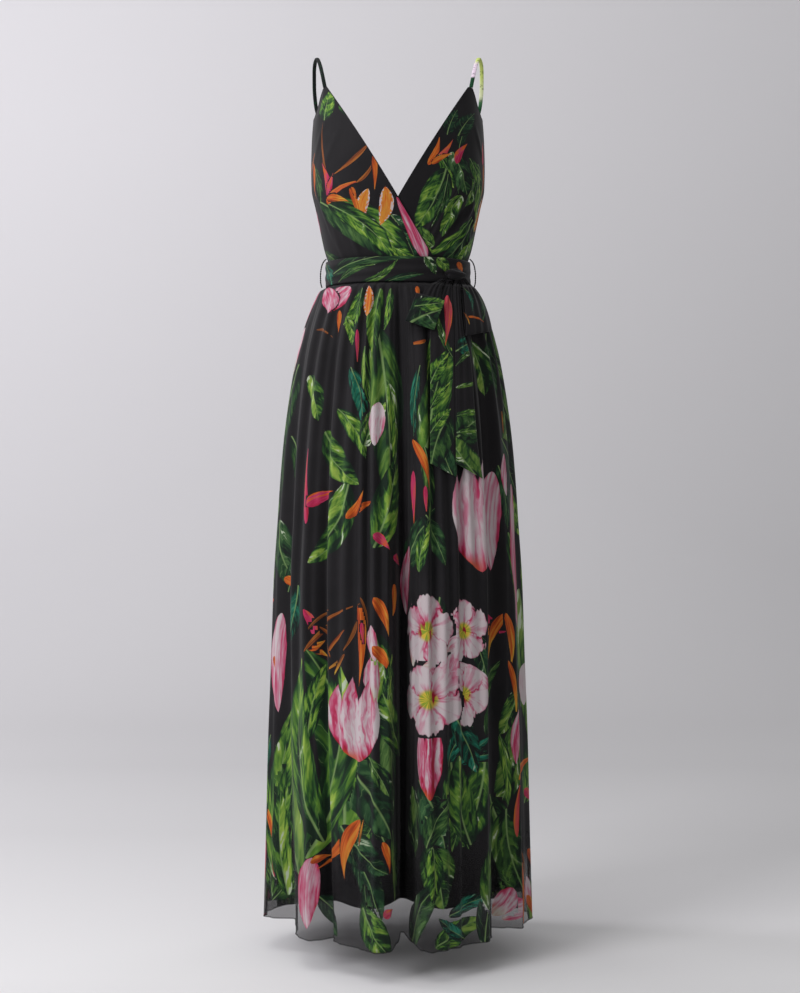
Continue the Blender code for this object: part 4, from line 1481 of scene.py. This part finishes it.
def skirt_half(name, creases, prints, finish, seed, side_seams=False):
    """One half of the outer skirt: the solid's folds drawn finely, with gathers under the waist seam."""
    upper = np.linspace(WAIST - SEAM, GATHER_FOOT_Z, SKIRT_ROWS[0])
    z = np.concatenate([upper, np.linspace(GATHER_FOOT_Z, -LENGTH, SKIRT_ROWS[1])[1:]])
    angle, depth, lift = folded(FOLDS[name], z, SKIRT_BETWEEN)
    angle = parted(angle, z)
    rise = gathers(angle, z, seed) + creased(creases, angle, z[:, None])
    points = on_dress(np.radians(angle), z[:, None], rise - depth)
    points[..., 2] += lift
    if side_seams:
        edge_roll("skirt_right_seam", points[:, 0], finish, radius=SEAM_THREAD)
        edge_roll("skirt_left_seam", points[:, -1], finish, radius=SEAM_THREAD)
    cloth(
        name, points, finish, CHIFFON, at=angle, prints=prints, hem=HEM_ROLL
    )


def lining_half(name, start, finish):
    """One half of the lining, a plain tube that hangs behind the folds."""
    rows, columns = LINING_GRID
    z = np.linspace(WAIST - SEAM, -LINING_LENGTH, rows)
    angle = parted(np.tile(np.linspace(start, start + 180, columns), (rows, 1)), z)
    points = on_dress(np.radians(angle), z[:, None], -lining_depth(angle, z))
    cloth(name, points, finish, LINING, hem=HEM_ROLL)


def wrap_front(name, side, lift, sides, finish):
    """A bodice front from its side seam to its neckline edge, side -1 for the wearer's right.

    Each row runs at one height from the side seam, or from the armhole above the underarm, to the
    neckline, which runs straight down across the front.
    """
    upper_rows, lower_rows, columns = FRONT_GRID
    upper = np.linspace(POINT_Z, UNDERARM_Z, upper_rows)
    z = np.concatenate([upper, np.linspace(UNDERARM_Z, WAIST + SEAM / 2, lower_rows)[1:]])
    inner = -POINT_INNER_X + NECK_SLOPE * (POINT_Z - z)
    armhole = -smooth(z, ARMHOLE["z"], ARMHOLE["x"])
    seam = -np.radians(SIDE_SEAM_DEG) + SEAM / 2 / outline(z)[1]
    start = np.where(z > UNDERARM_Z, angle_at(armhole, z), seam)
    across = np.linspace(0, 1, columns)
    angle = start[:, None] + (angle_at(inner, z) - start)[:, None] * across
    ramped = np.clip(across / OVERLAP_RAMP, 0, 1)
    rise = lift * ramped * ramped * (3 - 2 * ramped)
    if side > 0:
        angle = -angle[:, ::-1]
        rise = rise[::-1]
    degrees = np.degrees(angle)
    rise = rise + pleat_rise(PLEATS[name], degrees, z[:, None]) + creased(CREASES[name], degrees, z[:, None])
    points = on_dress(angle, z[:, None], rise)
    prints = [(PRINTS[name], 0), *sides]
    cloth(name, points, finish, CHIFFON, at=degrees, prints=prints)
    outer, neck = (points[:, 0], points[:, -1])[::-side]
    edge_roll(f"{name}_neck_edge", neck, finish)
    edge_roll(f"{name}_armhole_edge", outer[:upper_rows], finish)
    edge_roll(f"{name}_side_seam", outer[upper_rows - 1:], finish, radius=SEAM_THREAD)
    edge_roll(f"{name}_top_edge", points[0], finish)


def bodice_back(name, prints, finish):
    """The back, with its V, from side seam to side seam: its columns run from its top to the waist."""
    rows, armhole_columns, v_columns = BACK_GRID
    point_x, point_z = BACK_POINT
    point = np.pi - np.arcsin(point_x / outline(point_z)[0])
    beside = np.linspace(np.radians(SIDE_SEAM_DEG), point, armhole_columns)
    half = np.concatenate([beside, np.linspace(point, np.pi, v_columns)[1:]])
    x = outline(point_z)[0] * np.sin(half)
    armhole = UNDERARM_Z + (point_z - UNDERARM_Z) * (half - half[0]) / (point - half[0])
    slant = BACK_V_Z + (point_z - BACK_V_Z) * np.clip(x / point_x, 0, 1)
    top = np.where(half <= point, armhole, slant)
    angle = np.concatenate([half, 2 * np.pi - half[-2::-1]])
    top = np.concatenate([top, top[-2::-1]])
    z = top + (WAIST + SEAM / 2 - top) * np.linspace(0, 1, rows)[:, None]
    angle = np.tile(angle, (rows, 1))
    angle[:, 0] += SEAM / 2 / outline(z[:, 0])[1]
    angle[:, -1] -= SEAM / 2 / outline(z[:, -1])[1]
    degrees = np.degrees(angle)
    points = on_dress(angle, z, creased(CREASES[name], degrees, z))
    cloth(name, points, finish, CHIFFON, at=degrees, prints=prints)
    edge_roll("bodice_back_top_edge", points[0], finish)


def sash_band(name, finish):
    """The sash round the waist: long soft folds that lift and drop round the body and tighten
    towards the knot."""
    down = np.linspace(0, 1, BAND_GRID[0])
    degrees = np.linspace(-180, 180, BAND_GRID[1], endpoint=False)
    out = smooth(down, BELT_FOLDS["down"], BELT_FOLDS["out"])[:, None]
    near = np.exp(-((degrees - np.degrees(angle_at(*KNOT))) / BELT_KNOT_REACH_DEG) ** 2)
    turn = np.radians(degrees)
    drift = BELT_FOLD_DRIFT * wander(turn, 4, 5) * (1 - near)
    bend, start = BELT_RIDGE_BEND
    ridges = np.sin(2 * np.pi * (BELT_RIDGES * (down[:, None] + drift)) + bend * np.sin(turn + start))
    soft = np.sin(np.pi * down[:, None])
    even, wandering, tighter = BELT_RIDGE_SHARES
    height = BELT_RIDGE * (even + wandering * wander(turn * 2, 4, 8)) * (1 + tighter * near)
    lift = BELT_INSIDE + BELT_THICK + BELT_OUT_SHARE * out + soft * height * ridges
    points = on_dress(turn, WAIST, lift)
    sway = BELT_SWAY * wander(turn, 3, 12) * (1 - near)
    points[..., 2] = BELT_TOP + (BELT_FOOT - BELT_TOP) * down[:, None] + sway * soft
    cloth(
        name, points, finish, SASH, closed=True, at=degrees,
        prints=[(PRINTS[name], 0)],
    )


def sash_knot(finish):
    """The knot: a squashed ball with lobes, wound with folds that twist as they go round it."""
    rings, sides = KNOT_GRID
    angle = angle_at(*KNOT)
    lift = BELT_INSIDE + BELT_THICK + BELT_FOLDS["out"].max() + SEAM + KNOT_SIZE[1]
    centre = on_dress(angle, KNOT[1], lift)
    outward = (centre - on_dress(angle, KNOT[1])) / lift
    tangent = np.array([-outward[1], outward[0], 0])
    around = np.linspace(0, 2 * np.pi, sides, endpoint=False)
    level = np.linspace(0, np.pi, rings + 2)[1:-1, None]
    lobe = 1 + KNOT_LOBE * np.cos(3 * around) * np.sin(level)
    first, start, second = KNOT_TWIST
    wound = np.sin(KNOT_WINDS * level + first * np.sin(around - start) + second * np.cos(around * 2))
    lobe = lobe * (1 + KNOT_FOLD * wound * np.sin(level))
    ring = np.stack([
        KNOT_SIZE[0] * lobe * np.sin(level) * np.cos(around),
        KNOT_SIZE[1] * (1 + KNOT_FOLD * wound) * np.sin(level) * np.sin(around),
        KNOT_SIZE[2] * lobe * np.cos(level) + 0 * around,
    ], -1)
    poles = np.array([[0, 0, KNOT_SIZE[2]], [0, 0, -KNOT_SIZE[2]]])
    local = np.concatenate([poles[:1], ring.reshape(-1, 3), poles[1:]])
    points = centre + local[:, :1] * tangent + local[:, 1:2] * outward + local[:, 2:] * [0, 0, 1]
    faces = [1 + face[::-1] for face in grid_faces(rings, sides, closed=True)]
    foot = 1 + (rings - 1) * sides
    following = [(k, (k + 1) % sides) for k in range(sides)]
    faces += [(0, 1 + after, 1 + k) for k, after in following]
    faces += [(len(local) - 1, foot + k, foot + after) for k, after in following]
    new_piece("sash_knot", points, faces, finish)


def sash_strip(name, held, finish):
    """A strip of the sash from its knot end, its edges on smooth curves, with soft ridges along it.

    A ridge is a bell across, at a place that slides from its first share of the width to its last,
    and as high at its start as its own height, fading to a third at the end.
    """
    rows, columns = STRIP_GRID
    along = np.linspace(0, 1, rows)[:, None]
    left_x, left_z, right_x, right_z, lift = (c[:, None] for c in along_route(STRIPS[name], rows))
    across = np.linspace(0, 1, columns)
    x = left_x + (right_x - left_x) * across
    z = left_z + (right_z - left_z) * across
    rise = np.zeros(x.shape)
    for first, last, width, height in RIDGES[held]:
        middle = first + (last - first) * along
        rise += height * np.exp(-(((across - middle) / width) ** 2)) * (1 - RIDGE_FADE * along)
    points = on_dress(angle_at(x, z), z, lift + rise)
    cloth(
        name, points, finish, SASH, at=x,
        prints=[(PRINTS[name], 0)],
    )


def shoulder_strap(name, side, finish):
    """A rouleau: an oval tube along the strap's route, side -1 for the wearer's right."""
    path = np.stack(along_route(STRAP_ROUTE, STRAP_GRID[0]), -1) * [side, 1, 1]
    tube(name, path, STRAP_RADII, finish, STRAP_GRID[1])


def thread_carrier(name, side, finish):
    """Two threads twisted round each other along the carrier's route."""
    x, z = along_route(CARRIER_ROUTE, CARRIER_ROWS)
    path = np.stack([x, 0 * x, z], -1) * [side, 1, 1]
    turn = np.linspace(0, 1, CARRIER_ROWS) * 2 * np.pi * CARRIER_TWISTS
    out = np.stack([np.cos(turn), np.sin(turn), 0 * turn], -1) * PLY_RADIUS * 0.85
    for word, sign in (("a", 1), ("b", -1)):
        tube(f"{name}_{word}", path + sign * out, PLY_RADIUS, finish)


def add_light(name, place, aim, size, power, colour):
    """A soft square light that faces the point aim."""
    lamp = bpy.data.lights.new(name, "AREA")
    lamp.size = size
    lamp.energy = power
    lamp.color = colour
    light = bpy.data.objects.new(name, lamp)
    light.location = place
    light.rotation_euler = (Vector(aim) - Vector(place)).to_track_quat("-Z", "Y").to_euler()
    bpy.context.scene.collection.objects.link(light)


def studio():
    """A pale floor that curves up into a wall, with painted shade darkening the floor behind the dress and
    painted light brightening the wall, soft light from the left and the front, and the camera.
    """
    turn = np.linspace(0, np.pi / 2, 25)
    flat = np.linspace(FLOOR_FRONT_Y, BACKDROP_Y - BEND, 55)[:-1]
    run = np.concatenate([flat, BACKDROP_Y - BEND + BEND * np.sin(turn), [BACKDROP_Y, BACKDROP_Y]])
    rise = np.concatenate([0 * flat, BEND * (1 - np.cos(turn)), WALL_RISES]) + FLOOR_Z
    edges = [-PAPER_HALF_WIDTH, PAPER_HALF_WIDTH]
    points = np.stack(np.broadcast_arrays(edges, run[:, None], rise[:, None]), -1)
    material, tree, shader = new_material("pale_paper", Roughness=0.9)
    feed(shader, "Base Color", add_node(tree, "Attribute", output="Color", attribute_name="shade"))
    backdrop = add_object("backdrop", points, grid_faces(len(run), 2), material)
    way = np.hypot(np.diff(run, prepend=run[0]), np.diff(rise, prepend=rise[0])).cumsum() + run[0]
    # Painted shade and light: the paper's colour is scaled along the sheet, darker on the floor and lighter
    # up the wall
    painted_shade = np.interp(way, PAPER_RUN, PAPER_PAINTED_SHADE)[:, None, None] * (*PAPER, 1)
    shade = backdrop.data.color_attributes.new("shade", "FLOAT_COLOR", "POINT")
    shade.data.foreach_set("color", np.broadcast_to(painted_shade, (len(run), 2, 4)).ravel())
    for name, light in LIGHTS.items():
        add_light(name, *light)
    world = bpy.data.worlds.new("studio")
    world.use_nodes = True
    sky = world.node_tree.nodes["Background"]
    feed(sky, "Color", SKY)
    feed(sky, "Strength", SKY_STRENGTH)
    camera = bpy.data.objects.new("camera", bpy.data.cameras.new("camera"))
    camera.data.lens = LENS
    camera.location = CAMERA
    camera.rotation_euler = (np.pi / 2, 0, 0)
    scene = bpy.context.scene
    scene.collection.objects.link(camera)
    scene.world = world
    scene.camera = camera
    scene.view_settings.view_transform = "Standard"


def dress():
    """Every piece of the dress."""
    design = dress_print()
    grain = crepe_grain()
    skirt = printed_finish("skirt_chiffon", design, grain, COVER_OF_GROUND)
    bodice = printed_finish("bodice_chiffon", design, grain, 1)
    lining = plain_finish("lining_cloth", LINING_BLACK, LINING_GREY, grain)
    thread = plain_finish("carrier_thread", THREAD_BLACK, THREAD_BLACK, grain, wrinkle=0)
    dark = ((0.0, DEEP_GREEN), (0.3, GROUND), (0.7, DEEP_SHADE), (1.0, GROUND))
    bright = (
        ((0.66, DEEP_GREEN), (0.68, STRAP_LILAC), (0.88, STRAP_LILAC), (0.95, STRAP_LIME)),
        ((0.40, DEEP_GREEN), (0.50, DEEP_LIGHT), (0.58, STRAP_CREAM), (0.85, STRAP_LIME)),
    )
    right_strap = strap_finish("strap_dark", grain, dark, dark)
    left_strap = strap_finish("strap_bright", grain, *bright)

    top, hem = 1000 * -WAIST, 1000 * LENGTH
    front, over, under = (PRINTS[f"{word}_cloth"] for word in ("skirt_front", "bodice_over", "bodice_under"))
    rear, left, right = (moved(front, by, top, hem) for by in (260, 430, 610))
    sides = [(left, 90), (right, -90)]
    creases = CREASES["skirt_front_cloth"]
    turned = {**creases, **{word: creases[word] + 180 for word in ("angle", "to_angle")}}
    skirt_half("skirt_front_cloth", creases, [(front, 0), *sides], skirt, 3, side_seams=True)
    skirt_half("skirt_back_cloth", turned, [(rear, 180), *sides], skirt, 4)
    lining_half("lining_front_cloth", -90, lining)
    lining_half("lining_back_cloth", 90, lining)
    sides = [(under, -90), (over, 90), (over, -90), (under, 90)]
    wrap_front("bodice_over_cloth", -1, OVERLAP_LIFT, sides, bodice)
    wrap_front("bodice_under_cloth", 1, 0.0, sides, bodice)
    bodice_back("bodice_back_cloth", [(joined(over, under), 180), *sides], bodice)
    sash_band("sash_band", bodice)
    sash_knot(bodice)
    for side in ("left", "right"):
        sash_strip(f"sash_loop_{side}", "folded", bodice)
    for place in ("rear", "front"):
        sash_strip(f"sash_tail_{place}", "hung", bodice)
    shoulder_strap("strap_left_rouleau", 1, left_strap)
    shoulder_strap("strap_right_rouleau", -1, right_strap)
    thread_carrier("carrier_left", 1, thread)
    thread_carrier("carrier_right", -1, thread)
    for piece, node in REPLACES.items():
        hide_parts(node)


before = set(bpy.data.objects)
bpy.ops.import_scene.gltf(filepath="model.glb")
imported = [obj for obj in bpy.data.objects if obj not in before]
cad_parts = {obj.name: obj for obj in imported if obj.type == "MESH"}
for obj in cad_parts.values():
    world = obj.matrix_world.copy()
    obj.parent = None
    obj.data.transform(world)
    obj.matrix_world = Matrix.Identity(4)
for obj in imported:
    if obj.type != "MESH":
        bpy.data.objects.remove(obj)
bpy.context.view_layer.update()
dress()
studio()
